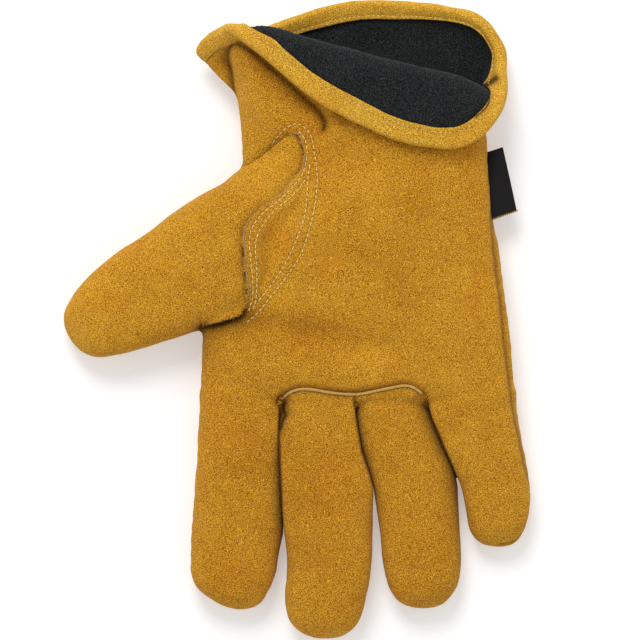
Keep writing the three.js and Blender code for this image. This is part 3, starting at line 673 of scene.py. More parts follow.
# Dips, puckers and shades of the seams: how high or how dark, and the half width
HOLLOW, STITCH_DIP, STITCH_SHADE = (3.2, 3.8), (0.45, 0.9), (0.2, 0.8)
KNUCKLE_DIP, KNUCKLE_PUCKER, KNUCKLE_SHADE = (1.7, 1.8), (0.28, 2.25), (0.6, 1.7)
SIDE_DIP, SIDE_PUCKER, SIDE_SHADE = (0.8, 1.1), (0.098, 3.5), (0.6, 0.9)
PUCKER_PITCH, PUCKER_STEP, KNUCKLE_SWAY, SIDE_SWAY = 6.5, 3.0, (2, 9), (3, 13)
# The thumb is tucked under the strip along most of its seam, but lies over the wrist's leather at
# its top and over the palm's at its fold: sinks and shades there, and how far the palm goes under
THUMB_TUCK, THUMB_SHADE, THUMB_LIFT = (1.7, 2.6), (1.0, 1.3), (0.8, 3.0)
WRIST_SINK, WRIST_SINK_WIDTH, WRIST_SHADE = 2.6, 4.0, (0.4, 1.2)
FOLD_SINK, FOLD_SINK_WIDTH, FOLD_SHADE, FOLD_EDGE = 2.9, 4.5, (1.0, 4.6), -38.9
UNDERLAP, UNDER_MARGIN, UNDER_SHELF, UNDER_EASE = 5.0, 1.5, 1.7, 1.5
UNDER_LEAST, LEAST_DARK, FOLD_SHADE_OUTWARDS = 0.02, 0.15, 3
# One finger of each two lies lower along the cleft and goes under the other: which side it is on,
# how wide its slope is, and how deep at each place along it
CLEFTS = [
    ["index_middle", -1, 2.4, [[-118, 0.0], [-104, 0.6], [-88, 2.0], [-62, 1.6], [-53, 0.7], [-47, 0.0]]],
    ["index_middle", 1, 3.4, [[-48, 0.0], [-43, 2.2], [-38, 4.4], [-34, 2.6], [-31, 0.6]]],
    ["middle_ring", 1, 1.5, [[-95, 0.0], [-72, 0.5], [-60, 0.9], [-42, 1.1], [-36, 3.0], [-33, 2.6],
                             [-30, 0.6]]],
    ["ring_little", -1, 5.0, [[-110, 0.2], [-84, 1.0], [-66, 2.8], [-44, 2.8], [-34, 3.0], [-30, 1.4]]],
]
CLEFT_EVEN_WIDTH, CLEFT_SHADE_SHARE, CLEFT_LINE_SHADE, CLEFT_DARK = 1.4, 0.45, (0.9, 0.45), 0.97
UNDER_HEM, TURNED_OVER = 0.5, 0.7
# Where each of these sets in: a start, and the length after it to full strength
CLEFT_ALONG, CLEFT_UPWARDS = (29, 5), (8, 5)
UPWARDS, STEEP, FLAP_SLOPE = (0, 0.625), (-0.1, 1 / 3), (-0.04, 0.4)
DENTS_END, RISE_FROM_RIM, HEM_PRESS, TOP_END = (0.5, -0.15), (4, 10), (10, -5), (38, -6)
THUMB_FOLD, FOLD_INWARDS, THUMB_CLEAR, THUMB_CLEAR_HALF = (113, 8), (FOLD_EDGE, 4), 68.0, (9, 18)


def bumps(points, size, seed):
    """Smooth noise of about one bump in each stretch of the given size, between -1 and 1."""
    shift = Vector((seed * 17.3, seed * 5.1, seed * 9.7))
    return np.array([noise.noise(Vector(point) / size + shift) for point in points.tolist()])


def normals_of(points, triangles):
    """Unit normals at the points."""
    corners = points[triangles]
    facing = np.cross(corners[:, 1] - corners[:, 0], corners[:, 2] - corners[:, 0])
    total = np.zeros_like(points)
    for k in range(3):
        for axis in range(3):
            total[:, axis] += np.bincount(triangles[:, k], facing[:, axis], len(points))
    return total / np.maximum(np.linalg.norm(total, axis=1), 1e-12)[:, None]


def hump(distance, height, width):
    """A height along a line, rounded off to nothing beside it."""
    return height * np.exp(-(distance / width) ** 2)


def beside_line(line, count, height, width):
    """A hump along a smooth line, at every point of the leather."""
    return hump(from_line(plan, curve(line, count))[0], height, width)


def puckers(along, sway, length):
    """Waves along a seam, their pitch a little uneven."""
    return np.cos(2 * math.pi * along / PUCKER_PITCH + sway * np.sin(along / length))


cleft_shade = np.zeros(len(skin))
in_cleft = np.zeros(len(skin))
upper = ramp(skin[:, 2], *CLEFT_UPWARDS)
along = ramp(-skin[:, 1], *CLEFT_ALONG)
for name, sunk_side, width, depths in CLEFTS:
    across = skin[:, 0] - gap_at(name, skin[:, 1])
    depth = read(depths, skin[:, 1])
    sunk = (across * sunk_side > 0) * along * upper
    skin[:, 2] -= sunk * fading(np.abs(across), depth, width)
    in_cleft = np.maximum(in_cleft, along * hump(across, 1, CLEFT_EVEN_WIDTH))
    shade = sunk * fading(np.abs(across), np.clip(depth, 0, 1), CLEFT_SHADE_SHARE * width)
    line_shade = along * (depth > 0) * hump(across, *CLEFT_LINE_SHADE)
    cleft_shade = np.max([cleft_shade, shade, line_shade], axis=0)

plan = skin[:, :2]
outward = normals_of(skin, triangles)
facing_up = ramp(outward[:, 2], *UPWARDS) * (up_the_cuff < TURNED_OVER)
rise = sum(height * bumps(skin, size, seed) for height, size, seed in UNEVEN)
for line, width, height in DENTS:
    rise += facing_up * ramp(up_the_cuff, *DENTS_END) * beside_line(line, 24, height, width)
stitch_lines = [curve(row) for row in (THUMB_ROW_INNER, THUMB_ROW_OUTER, PALM_ROW_INNER, PALM_ROW_OUTER)]
crescent = into_outline(plan, np.vstack([stitch_lines[1], stitch_lines[2][::-1]]))
rise -= facing_up * (HOLLOW[0] - hump(np.maximum(crescent, 0), *HOLLOW))
# Painted shade that darkens the leather's colour: in the clefts, beside the flap's edge, along the stitch
# rows and the knuckle and side seams, in the deep folds, and beside the thumb.
shades = [CLEFT_DARK * cleft_shade, np.clip(flap_shade, 0, 1) * ramp(outward[:, 2], *FLAP_SLOPE)]
for line in stitch_lines:
    distance, _ = from_line(plan, line)
    rise -= facing_up * hump(distance, *STITCH_DIP)
    shades.append(facing_up * hump(distance, *STITCH_SHADE))
distance, along = from_line(plan, knuckle_line)
rise -= facing_up * hump(distance, *KNUCKLE_DIP)
rise += facing_up * puckers(along, *KNUCKLE_SWAY) * hump(distance - PUCKER_STEP, *KNUCKLE_PUCKER)
shades.append(facing_up * hump(distance, *KNUCKLE_SHADE))
distance = np.abs(fields["front"])
on_side = (fields["thumb"] < 0) & (leaf < 0)
rise -= on_side * hump(distance, *SIDE_DIP)
rise += on_side * puckers(skin[:, 1], *SIDE_SWAY) * hump(distance, *SIDE_PUCKER)
shades.append(on_side * hump(distance, *SIDE_SHADE))
for line, width, dark in SHADED_FOLDS:
    shades.append(ramp(outward[:, 2], *STEEP) * beside_line(line, 40, dark, width))
rise *= 1 - in_cleft * (1 - facing_up)
rise *= ramp(from_rim, *RISE_FROM_RIM)
rise -= UNDER_HEM * ramp(from_rim, *HEM_PRESS)

distance, along = from_line(plan, thumb_line)
above = skin[:, 2] > THUMB_SEAM_HEIGHT
tucked = (fields["thumb"] >= 0) & above
palm_side = (fields["thumb"] <= 0) & above
wrist_side = palm_side & (plan[:, 0] < 0)
at_top = ramp(along, *TOP_END)
past_fold = ramp(along, *THUMB_FOLD)
at_fold = past_fold * ramp(plan[:, 0], *FOLD_INWARDS)
shades.append(wrist_side * at_top * fading(distance, *WRIST_SHADE))
in_fold = palm_side * past_fold * (plan[:, 0] > FOLD_EDGE - FOLD_SHADE_OUTWARDS)
shades.append(in_fold * fading(distance, *FOLD_SHADE))
painted_crease_shade = np.max(shades, axis=0)
dark_ends = np.maximum(ramp(np.abs(along - THUMB_CLEAR), *THUMB_CLEAR_HALF), LEAST_DARK) * (1 - at_fold)
painted_thumb_shade = np.maximum(painted_crease_shade, tucked * (1 - at_top) * dark_ends * hump(distance, *THUMB_SHADE))
thumb_rise = rise - tucked * (1 - at_top) * (1 - at_fold) * hump(distance, *THUMB_TUCK)
thumb_rise += tucked * at_fold * fading(distance, *THUMB_LIFT)
wrist_sink, fold_sink = at_top * facing_up * WRIST_SINK, at_fold * FOLD_SINK
rise -= wrist_side * fading(distance, wrist_sink, WRIST_SINK_WIDTH)
rise -= palm_side * fading(distance, fold_sink, FOLD_SINK_WIDTH)
# Where the thumb lies over the wrist and the palm, their leather goes on under it.
under_thumb = tucked & (distance < UNDERLAP) & (at_top + at_fold > UNDER_LEAST)
under_sink = UNDER_SHELF + fading(distance, wrist_sink + fold_sink - UNDER_SHELF, UNDER_EASE)
under_rise = np.where(under_thumb & (fields["thumb"] > 0), rise - under_sink, rise)
can_go_under = under_thumb | (palm_side & (distance < UNDER_MARGIN))

# Panels of split suede, 1.3 mm thick, sewn to each other with cream thread. The strip round the
# thumb lies over the thumb's edge with its cut edge bare.
# The leather's thickness, a millimetre in metres, and the turn in degrees that keeps an edge crisp
LEATHER, MM, SHARP = 1.3, 0.001, 50
PANELS = ["palm_panel", "middle_front", "ring_front", "back_panel", "thumb_panel", "thumb_gusset",
          "fourchette_index_middle", "fourchette_middle_ring", "fourchette_ring_little"]
PALM, MIDDLE_FRONT, RING_FRONT, BACK, THUMB_PANEL, GUSSET, FIRST_LEAF = range(7)
# How much lighter or darker each hide is than the palm's
PANEL_TONES = {"middle_front": -0.04, "ring_front": -0.03, "thumb_panel": 0.06, "back_panel": -0.02}
# Stains and worn places, and spots of painted shade and painted highlight along the palm's folds and
# beside the ring finger's cleft: where, how wide, how much darker, and how much more orange
STAINS_AND_PAINTED_SHADE = [
    [-25, -48, 16, 0.08, 0.6],
    [-26, -102, 15, -0.03, 0.62],
    [12, -64, 15, 0.08, 0.6],
    [11, -98, 16, 0.09, 0.4],
    [38, -46, 13, 0.06, 0.35],
    [50, -84, 16, 0.05, 0.3],
    [80, -60, 12, 0.02, 0.2],
    [20, 38, 15, 0.12, 0.1],
    [-31, 46, 9, 0.17, 0.0],
    [-16, -3, 8, 0.19, 0.4],
    [3, -6, 9, 0.25, 0.45],
    [19, -10, 9, 0.13, 0.3],
    [-66, 8, 14, 0.03, 0.0],
    [45, 48, 8, 0.06, 0.0],
    [-32, -16, 10, -0.08, 0.35],
    [0, -18, 11, -0.1, 0.0],
    [24, -20, 13, -0.1, 0.0],
    [15, 62, 12, 0.0, 0.2],
    [69, -82, 6, 0.1, 0.2],
]


def past(name):
    """Which triangles lie past the seam of that name."""
    return fields[name][triangles].sum(axis=1) > 0


def add_piece(name, points, faces, materials, slot, face_materials=None, values=None, sharp=None):
    """A mesh object in metres that rides on the glove's body."""
    mesh = bpy.data.meshes.new(name)
    above_floor = np.maximum(np.asarray(points), [-np.inf, -np.inf, 0])
    mesh.from_pydata((above_floor * MM).tolist(), [], [list(face) for face in faces])
    for material in materials:
        mesh.materials.append(material)
    if face_materials is not None:
        mesh.polygons.foreach_set("material_index", np.asarray(face_materials, np.int32))
    mesh.polygons.foreach_set("use_smooth", np.ones(len(mesh.polygons), bool))
    for key, value in (values or {}).items():
        layer = mesh.attributes.new(key, "FLOAT", "POINT")
        layer.data.foreach_set("value", np.asarray(value, np.float32))
    if sharp is not None:
        mesh.set_sharp_from_angle(angle=math.radians(sharp))
    piece = bpy.data.objects.new(name, mesh)
    bpy.context.scene.collection.objects.link(piece)
    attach(piece, "root")
    return piece


def with_thickness(points, faces, normals, depth):
    """A closed wall: the given surface, its inside at a depth, and the rim between the two. Also
    says which of its triangles are the rim's."""
    used, faces = np.unique(faces, return_inverse=True)
    faces = faces.reshape(-1, 3)
    shift = len(used)
    a, b = np.array(open_sides(faces)).T
    rim = np.vstack([np.stack([b, a, a + shift], axis=1), np.stack([b, a + shift, b + shift], axis=1)])
    is_rim = np.repeat([0, 1], [2 * len(faces), len(rim)])
    walls = np.vstack([points[used], points[used] - depth * normals[used]])
    return used, walls, np.vstack([faces, faces[:, ::-1] + shift, rim]).tolist(), is_rim


class Tone:
    """A socket of a material's nodes. Sums and products of it add Math nodes."""

    def __init__(self, tree, socket=None):
        self.tree = tree
        self.socket = socket

    def node(self, kind, settings=None, sockets=None, output=0):
        """The output of a new node, after its settings and then its sockets' values or links."""
        new = self.tree.nodes.new(kind)
        for key, value in (settings or {}).items():
            if key == "stops":
                stops = new.color_ramp.elements
                while len(stops) < len(value):
                    stops.new(0.5)
                for stop, (place, colour) in zip(stops, value):
                    stop.position = place
                    stop.color = colour
            else:
                setattr(new, key, value)
        for key, value in (sockets or {}).items():
            if isinstance(value, Tone):
                self.tree.links.new(value.socket, new.inputs[key])
            else:
                new.inputs[key].default_value = value
        return Tone(self.tree, new.outputs[output] if len(new.outputs) else None)

    def maths(self, operation, first, second):
        """The output of a new Math node."""
        return self.node("ShaderNodeMath", {"operation": operation}, {0: first, 1: second})

    def __add__(self, other):
        return self.maths("ADD", self, other)

    def __sub__(self, other):
        return self.maths("SUBTRACT", self, other)

    def __rsub__(self, other):
        return self.maths("SUBTRACT", other, self)

    def __mul__(self, other):
        return self.maths("MULTIPLY", self, other)

    __radd__ = __add__
    __rmul__ = __mul__


def paint(red, green, blue):
    """A colour from its shades between 0 and 255."""
    return [((shade / 255 + 0.055) / 1.055) ** 2.4 for shade in (red, green, blue)] + [1]


def new_finish(name):
    """An empty material, and the tone that its nodes start from."""
    material = bpy.data.materials.new(name)
    material.use_nodes = True
    material.node_tree.nodes.clear()
    return material, Tone(material.node_tree)


def finished(start, sockets):
    """Ends a material's nodes in a shader with the given sockets."""
    shader = start.node("ShaderNodeBsdfPrincipled", None, sockets)
    start.node("ShaderNodeOutputMaterial", None, {"Surface": shader})


def grain(start, size, detail=2.0, roughness=0.5, distortion=0.0):
    """Noise, between 0 and 1, with lumps of the given size in millimetres."""
    return start.node("ShaderNodeTexNoise", None, {
        "Vector": start.node("ShaderNodeTexCoord", output="Object"), "Scale": 1 / (size * MM),
        "Detail": detail, "Roughness": roughness, "Distortion": distortion})


def value_of(start, name):
    """A value that a piece holds at each of its points."""
    return start.node("ShaderNodeAttribute", {"attribute_name": name}, None, "Fac")


def coloured(factor, stops):
    """A colour between the given ones, each at its place from 0 to 1."""
    return factor.node("ShaderNodeValToRGB", {"stops": stops}, {"Fac": factor})


def mixed(factor, first, second, blend="MULTIPLY"):
    """The first colour, blended with the second as far as the factor says."""
    return factor.node("ShaderNodeMix", {"data_type": "RGBA", "blend_type": blend}, {
        "Factor": factor, 6: first, 7: second}, 2)


def suede(name, stops, edge=False, gilt=False):
    """Split leather with its nap up: matt, mottled, and darkened with painted shade down in its seams,
    clefts and folds. A bare edge has no stains and no painted spots of shade or highlight, and a gilt one
    is yellower on its upper side."""
    material, start = new_finish(name)
    clouds = grain(start, 34.0)
    patches = grain(start, 9.0, 3.0, 0.6, 0.6)
    flecks = grain(start, 0.95, 1.0, 0.6)
    specks = grain(start, 0.28, 0.0)
    mottle = clouds * 0.5 + patches * 0.3 + flecks * 0.14 + specks * 4.0 - 1.99
    if not edge:
        mottle = mottle + value_of(start, "tone")
    colour = coloured(mottle, stops)
    if gilt:
        colour = mixed(value_of(start, "upper_side"), colour, paint(206, 152, 50), "MIX")
    # Painted shade: the colour is darkened as far as this value says, and near black where it is
    # strongest.
    seam = value_of(start, "seam")
    deep = seam * seam
    colour = mixed(seam, colour, [0.2, 0.14, 0.09, 1])
    colour = mixed(deep * deep, colour, [0.25, 0.2, 0.15, 1])
    if not edge:
        glow = start.node("ShaderNodeMapRange", None, {
            "Value": grain(start, 21.0, 2.0, 0.5, 0.5), "From Min": 0.5, "From Max": 0.68})
        orange = start.maths("MAXIMUM", glow * 0.5, value_of(start, "warm"))
        colour = mixed(orange, colour, [0.97, 0.8, 0.58, 1])
    bump = start.node("ShaderNodeBump", None, {
        "Strength": 0.5, "Distance": 0.00045, "Height": specks * 0.7 + flecks * 0.12})
    finished(start, {
        "Base Color": colour, "Roughness": 0.95, "Normal": bump, "Specular IOR Level": 0.15,
        "Sheen Weight": 0.25, "Sheen Roughness": 0.6, "Sheen Tint": paint(235, 190, 110)})
    return material


centres = skin[triangles].mean(axis=1)
gaps = [gap_at(name, centres[:, 1]) for name in GAPS]
panel = np.full(len(triangles), PALM)
below_knuckles = past("finger") & (fields["front"][triangles].sum(axis=1) >= 0)
panel[below_knuckles & (centres[:, 0] > gaps[0]) & (centres[:, 0] < gaps[1])] = MIDDLE_FRONT
panel[below_knuckles & (centres[:, 0] > gaps[1]) & (centres[:, 0] < gaps[2])] = RING_FRONT
panel[past("gusset")] = GUSSET
panel[fields["front"][triangles].sum(axis=1) < 0] = BACK
in_leaf = leaf[triangles].sum(axis=1) > 0
panel[in_leaf] = FIRST_LEAF + leaf_number[triangles[:, 0]][in_leaf]
panel[past("thumb")] = THUMB_PANEL

SUEDE = suede("suede", [
    (0.0, paint(131, 80, 8)), (0.35, paint(170, 113, 14)), (0.6, paint(192, 133, 25)),
    (1.0, paint(230, 173, 53))])
RAW_EDGE = suede("raw_edge", [(0.0, paint(96, 64, 16)), (1.0, paint(170, 122, 46))], edge=True)
placed, thumb_placed, under_placed = (
    skin + height[:, None] * outward for height in (rise, thumb_rise, under_rise))
is_under = can_go_under[triangles].all(axis=1) & (panel == THUMB_PANEL)
facing = normals_of(placed, triangles)
stain_and_shade_x, stain_and_shade_y, stain_and_shade_width, stain_and_shade_dark, stain_and_shade_warm = np.array(STAINS_AND_PAINTED_SHADE, float).T
for number, name in enumerate(PANELS):
    shape = {THUMB_PANEL: thumb_placed, PALM: under_placed}.get(number, placed)
    chosen = (panel == number) | (is_under if number == PALM else False)
    used, points, faces, is_rim = with_thickness(shape, triangles[chosen], facing, LEATHER)
    # The painted shade goes with each panel as a value on its points.
    dark = (painted_thumb_shade if number == THUMB_PANEL else painted_crease_shade)[used]
    # The stains and the spots of painted shade and highlight lie only on faces that look up, and go into
    # the tone.
    x, y = plan[used, :, None].transpose(1, 0, 2)
    stain_and_shade = np.exp(-((x - stain_and_shade_x) ** 2 + (y - stain_and_shade_y) ** 2) / stain_and_shade_width ** 2)
    stain_and_shade *= (outward[used, 2] > 0)[:, None]
    tone = PANEL_TONES.get(name, 0.0) - stain_and_shade @ stain_and_shade_dark
    warm = np.clip(stain_and_shade @ stain_and_shade_warm, 0, 1)
    values = {key: np.tile(value, 2) for key, value in (("seam", dark), ("tone", tone), ("warm", warm))}
    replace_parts(add_piece(name, points, faces, [SUEDE, RAW_EDGE], "suede", is_rim, values, SHARP), name)

# Knuckle welt. A strip of leather is sewn in along the knuckles between the palm and the two middle
# fingers, and its raw beige edge stands out of the seam.
WELT_RADIUS, WELT_SUNK, WELT_UNEVEN, WELT_EASINGS = 0.6, 0.2, 0.12, 12
WELT_ENDS, WELT_SIDES, STRIP_SIDES = [0.4, 0.8, 0.8, 0.4], 8, 6
HIGH = 90.0
on_thumb = (fields["thumb"] > 0)[:, None]
tree = BVHTree.FromPolygons(np.where(on_thumb, thumb_placed, placed).tolist(), triangles.tolist())


def dropped(plan_line, easings=0):
    """A path over the leather right below the given places, eased a number of times."""
    path = []
    for x, y in plan_line:
        spot, _, _, _ = tree.ray_cast(Vector((x, y, HIGH)), Vector((0, 0, -1)))
        path.append(spot if spot else Vector((x, y, 0)))
    path = np.array(path)
    for _ in range(easings):
        path[1:-1] += 0.5 * ((path[:-2] + path[2:]) / 2 - path[1:-1])
    return path


def swept(path, radii, sides=STRIP_SIDES):
    """Points and faces of a closed round strip along a path, with a radius at each of its points."""
    ahead = np.gradient(path, axis=0)
    ahead /= np.linalg.norm(ahead, axis=1)[:, None]
    side = np.cross(ahead, [0, 0, 1])
    side /= np.linalg.norm(side, axis=1)[:, None]
    up = np.cross(side, ahead)
    turn = np.linspace(0, 2 * math.pi, sides, endpoint=False)[:, None]
    ring = np.cos(turn) * side[:, None] + np.sin(turn) * up[:, None]
    rings = path[:, None] + np.asarray(radii)[:, None, None] * ring
    return rings.reshape(-1, 3), tube_faces(len(path), sides)


welt_path = dropped(curve(KNUCKLE_SEAM, 240)[1:-3], WELT_EASINGS)
welt_path[:, 2] += WELT_RADIUS - WELT_SUNK
radii = WELT_RADIUS * (1 + WELT_UNEVEN * bumps(welt_path, 2.0, 7))
radii[[0, 1, -2, -1]] *= WELT_ENDS
points, faces = swept(welt_path, radii, WELT_SIDES)
WELT = suede("welt", [(0.0, paint(140, 116, 74)), (1.0, paint(208, 186, 136))], edge=True, gilt=True)
welt_turns = np.linspace(0, 2 * math.pi, WELT_SIDES, endpoint=False)
upper_side = np.tile(np.clip(0.5 - 2 * np.cos(welt_turns), 0, 1), len(welt_path))
welt = add_piece("knuckle_welt", points, faces, [WELT], "piping", None, {"upper_side": upper_side})
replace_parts(welt, "knuckle_welt")

# Cut edge. The strip that laps over the thumb is cut suede with nothing turned in, and its edge
# shows as a fine beige line along the thumb's seam, from its top down to the fold.
CUT_EDGE_RADIUS, CUT_EDGE_LIFT, CUT_EDGE_UNEVEN, CUT_EDGE_EASINGS = 0.34, 0.14, 0.15, 24
CUT_EDGE_OUTWARDS, CUT_EDGE_PAST_TOP, CUT_EDGE_LEFT = 0.15, 3, -23.2
CUT_EDGE_ENDS = [0.3, 0.7, 0.7, 0.3]
cut_plan = curve(thumb_line[(thumb_line[:, 0] > CUT_EDGE_LEFT) & (thumb_line[:, 1] > GUSSET_LOW)], 260)
past_top = lengths_along(cut_plan)
cut_plan = cut_plan[past_top > past_top[np.argmax(cut_plan[:, 1])] - CUT_EDGE_PAST_TOP]
cut_path = dropped(cut_plan + CUT_EDGE_OUTWARDS, CUT_EDGE_EASINGS)
cut_path[:, 2] += CUT_EDGE_LIFT
radii = CUT_EDGE_RADIUS * (1 + CUT_EDGE_UNEVEN * bumps(cut_path, 1.5, 8))
radii[[0, 1, -2, -1]] *= CUT_EDGE_ENDS
points, faces = swept(cut_path, radii)
CUT_EDGE = suede("cut_edge", [(0.0, paint(112, 86, 44)), (1.0, paint(190, 162, 112))], edge=True)
add_piece("thumb_cut_edge", points, faces, [CUT_EDGE], "piping")

# Hem. A strip of the same suede, a shade lighter, is folded round the rim of the cuff and sewn
# through leather and lining, so that it is plump at the rim and pulled in along its stitches.
# Its section: how far back from the rim, and how far in from the cuff's outside
HEM_SECTION = [
    [6.3, 0.5], [6.4, 0.1], [6.1, -0.2], [5.2, -0.25], [4.0, -0.45], [2.0, -0.55], [0.5, -0.4],
    [-0.5, 0.3], [-1.0, 1.4], [-1.1, 2.6], [-0.9, 3.8], [-0.2, 4.7], [0.9, 5.0], [3.0, 5.0], [5.2, 4.9],
    [6.6, 4.95], [7.2, 4.7], [7.3, 4.3], [6.8, 4.05], [4.0, 4.1], [1.4, 3.9], [0.5, 2.5], [1.3, 0.9],
    [4.0, 0.6],
]
# How far down the cuff the strip reaches, by degrees round the cuff: on its inside and outside
HEM_REACH_IN = [
    [0, 0.95], [38, 0.85], [44, 0.62], [50, 0.6], [55, 0.9], [62, 1.25], [72, 1.36], [85, 1.3],
    [105, 1.14], [122, 1.02], [138, 1.15], [150, 1.35], [160, 1.42], [168, 1.5], [176, 1.5], [184, 1.3],
    [192, 1.1], [203, 0.75], [215, 0.5], [235, 0.5], [256, 0.75], [275, 0.95], [290, 1.1], [308, 1.1],
    [325, 0.9], [360, 0.95],
]
HEM_REACH = [
    [0, 0.95], [30, 1.0], [42, 1.25], [48, 1.45], [58, 1.25], [80, 1.2], [100, 1.05], [140, 1.0],
    [160, 1.1], [175, 1.4], [190, 1.2], [203, 0.8], [215, 0.66], [240, 0.6], [256, 0.75], [270, 0.8],
    [320, 0.85], [360, 0.95],
]
HEM_ROUND, HEM_EASINGS = 64, 3
# How far in from the cuff's outside the hem's outer side, its middle and its inner side are
HEM_OUTSIDE, HEM_MIDDLE, HEM_INSIDE = 1, 2.6, 4.5
HEM_UNEVEN = [[0.35, 11.0, 4], [0.14, 3.5, 5]]
# Its stitches, the dip and shade along them, and the shade along its lower edge
HEM_STITCHES, HEM_DIP, HEM_SHADE, HEM_EDGE, HEM_EDGE_SHADE = 5.3, (0.2, 0.8), (0.18, 0.5), 6.2, (0.6, 0.4)
# Creases where the hem is pinched at the little finger's side, with painted shade in them: a line, its
# half width, how dark
HEM_CREASES = [
    [[[74.0, 94.6], [75.8, 95.0], [77.6, 96.0], [80.0, 97.8]], 1.6, 1.0],
    [[[77.6, 92.2], [76.7, 87.0], [74.2, 84.0], [71.2, 81.5]], 0.45, 1.0],
]


def grid_normals(grid):
    """Unit normals of a grid of columns round the cuff."""
    around = np.roll(grid, -1, axis=0) - np.roll(grid, 1, axis=0)
    facing = np.cross(np.gradient(grid, axis=1), around)
    return facing / np.maximum(np.linalg.norm(facing, axis=2), 1e-9)[..., None]


def grid_faces(ids, closed_rows=False):
    """Faces of a grid of point numbers that closes round its first axis."""
    beside, ahead = np.roll(ids, -1, axis=0), np.roll(ids, -1, axis=1)
    quads = np.stack([ids, beside, np.roll(beside, -1, axis=1), ahead], axis=2)
    return (quads if closed_rows else quads[:, :-1]).reshape(-1, 4).tolist()


def eased_round(values, times=6):
    """Values round the cuff, eased towards their neighbours."""
    for _ in range(times):
        values = (values + 0.5 * (np.roll(values, 1, axis=0) + np.roll(values, -1, axis=0))) / 2
    return values


cuff_grid = skin[grid_ids]
wall_facing = eased_round(grid_normals(cuff_grid))
if (wall_facing[:, 3] * outward[grid_ids[:, 3]]).sum() < 0:
    wall_facing = -wall_facing
hem_back, hem_in = curve(HEM_SECTION, HEM_ROUND, closed=True).T
hem_points = np.empty((columns, HEM_ROUND, 3))
for column, turn in enumerate(turns):
    line = cuff_grid[column, ::-1]
    lengths = lengths_along(line)
    back = np.clip(hem_back, 0, None)
    back = back * np.where(hem_in > HEM_MIDDLE, read(HEM_REACH_IN, turn), read(HEM_REACH, turn))
    away = at_lengths(back, lengths, wall_facing[column, ::-1])
    onward = (line[0] - line[3]) / np.linalg.norm(line[0] - line[3])
    past_rim = np.clip(-hem_back, 0, None)[:, None] * onward
    hem_points[column] = at_lengths(back, lengths, line) + past_rim - hem_in[:, None] * away
hem_points = eased_round(hem_points, HEM_EASINGS)
hem_shape = hem_points.reshape(-1, 3)
hem_faces = grid_faces(np.arange(len(hem_shape)).reshape(columns, HEM_ROUND), closed_rows=True)
hem_triangles = np.array([[a, b, c] for a, b, c, d in hem_faces] + [[a, c, d] for a, b, c, d in hem_faces])
hem_out = normals_of(hem_shape, hem_triangles)
hem_middle = np.repeat(hem_points.mean(axis=1), HEM_ROUND, axis=0)
if ((hem_shape - hem_middle) * hem_out).sum() < 0:
    hem_faces = [face[::-1] for face in hem_faces]
    hem_out = -hem_out
stitch_gap = np.abs(np.tile(hem_back, columns) - HEM_STITCHES)
hem_rise = sum(height * bumps(hem_shape, size, seed) for height, size, seed in HEM_UNEVEN)
hem_shape = hem_shape + (hem_rise - hump(stitch_gap, *HEM_DIP))[:, None] * hem_out
lower_edge = np.tile((hem_in < HEM_OUTSIDE) * hump(hem_back - HEM_EDGE, *HEM_EDGE_SHADE), columns)
hem_shades = [hump(stitch_gap, *HEM_SHADE), lower_edge]
for line, width, dark in HEM_CREASES:
    distance, _ = from_line(hem_shape[:, :2], curve(line, 20))
    hem_shades.append((hem_out[:, 2] > 0) * hump(distance, dark, width))
HEM = suede("hem", [
    (0.0, paint(152, 102, 14)), (0.35, paint(190, 136, 28)), (0.6, paint(212, 159, 43)),
    (1.0, paint(239, 193, 76))])
# The hem's painted shade along its stitches, its lower edge and its creases goes on its points.
hem = add_piece("cuff_hem", hem_shape, hem_faces, [HEM], "hem", None, {"seam": np.max(hem_shades, axis=0)})
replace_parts(hem, "cuff_hem")

# Lining. A sleeve of black fleece hangs in the hand and is turned out with the cuff, so that its
# pile shows between the two sides of the hem.
LINING_OUT, LINING_IN = 1.7, 3.3
LINING_ROWS, LINING_END, LINING_FINENESS = 40, -16.0, 200
LINING_EASINGS, EASED_ROWS = 10, 6
# A row of the cuff at which the lining's way out is compared with the leather's
ALIKE_ROW = -20
# In the hand the fleece hangs clear of the palm's leather: how far, and where up the cuff that ends
SLACK, SLACK_END = 4.0, (0.42, -0.1)
PILE = [[0.16, 1.6, 11], [0.35, 14.0, 12]]

lining_turns = np.radians(turns[::2])
body_rows = curve(HAND, LINING_FINENESS)
body_rows = body_rows[(body_rows[:, ALONG] > LINING_END) & (body_rows[:, ALONG] < WRIST - 1)]
body_rows = body_rows[np.linspace(0, len(body_rows) - 1, LINING_ROWS).astype(int)]
across, height = sections(body_rows, lining_turns, HAND_SQUARENESS, HAND_PRESSED)
along = np.repeat(body_rows[:, ALONG, None], len(lining_turns), axis=1)
body_grid = np.stack([across, along, height], axis=2).transpose(1, 0, 2)
lining_grid = np.concatenate([body_grid, cuff_grid[::2]], axis=1)
first, last = LINING_ROWS - EASED_ROWS, LINING_ROWS + EASED_ROWS
for _ in range(LINING_EASINGS):
    middle = (lining_grid[:, first - 1:last - 1] + lining_grid[:, first + 1:last + 1]) / 2
    lining_grid[:, first:last] += 0.5 * (middle - lining_grid[:, first:last])
lining_facing = eased_round(grid_normals(lining_grid))
if (lining_facing[:, ALIKE_ROW] * wall_facing[::2, ALIKE_ROW]).sum() < 0:
    lining_facing = -lining_facing
up_rows = np.concatenate([np.zeros(LINING_ROWS), np.linspace(0, 1, CUFF_ROWS)])
slack = SLACK * ramp(up_rows, *SLACK_END) * np.clip(2 * np.sin(lining_turns)[:, None] + 0.6, 0, 1)
outside, inside = (
    lining_grid - (depth + slack)[..., None] * lining_facing for depth in (LINING_OUT, LINING_IN))
fluff = sum(height * bumps(inside.reshape(-1, 3), size, seed) for height, size, seed in PILE)
inside = inside - fluff.reshape(inside.shape[:2])[..., None] * lining_facing
out_ids = np.arange(inside.shape[0] * inside.shape[1]).reshape(inside.shape[:2])
in_ids = out_ids + out_ids.size
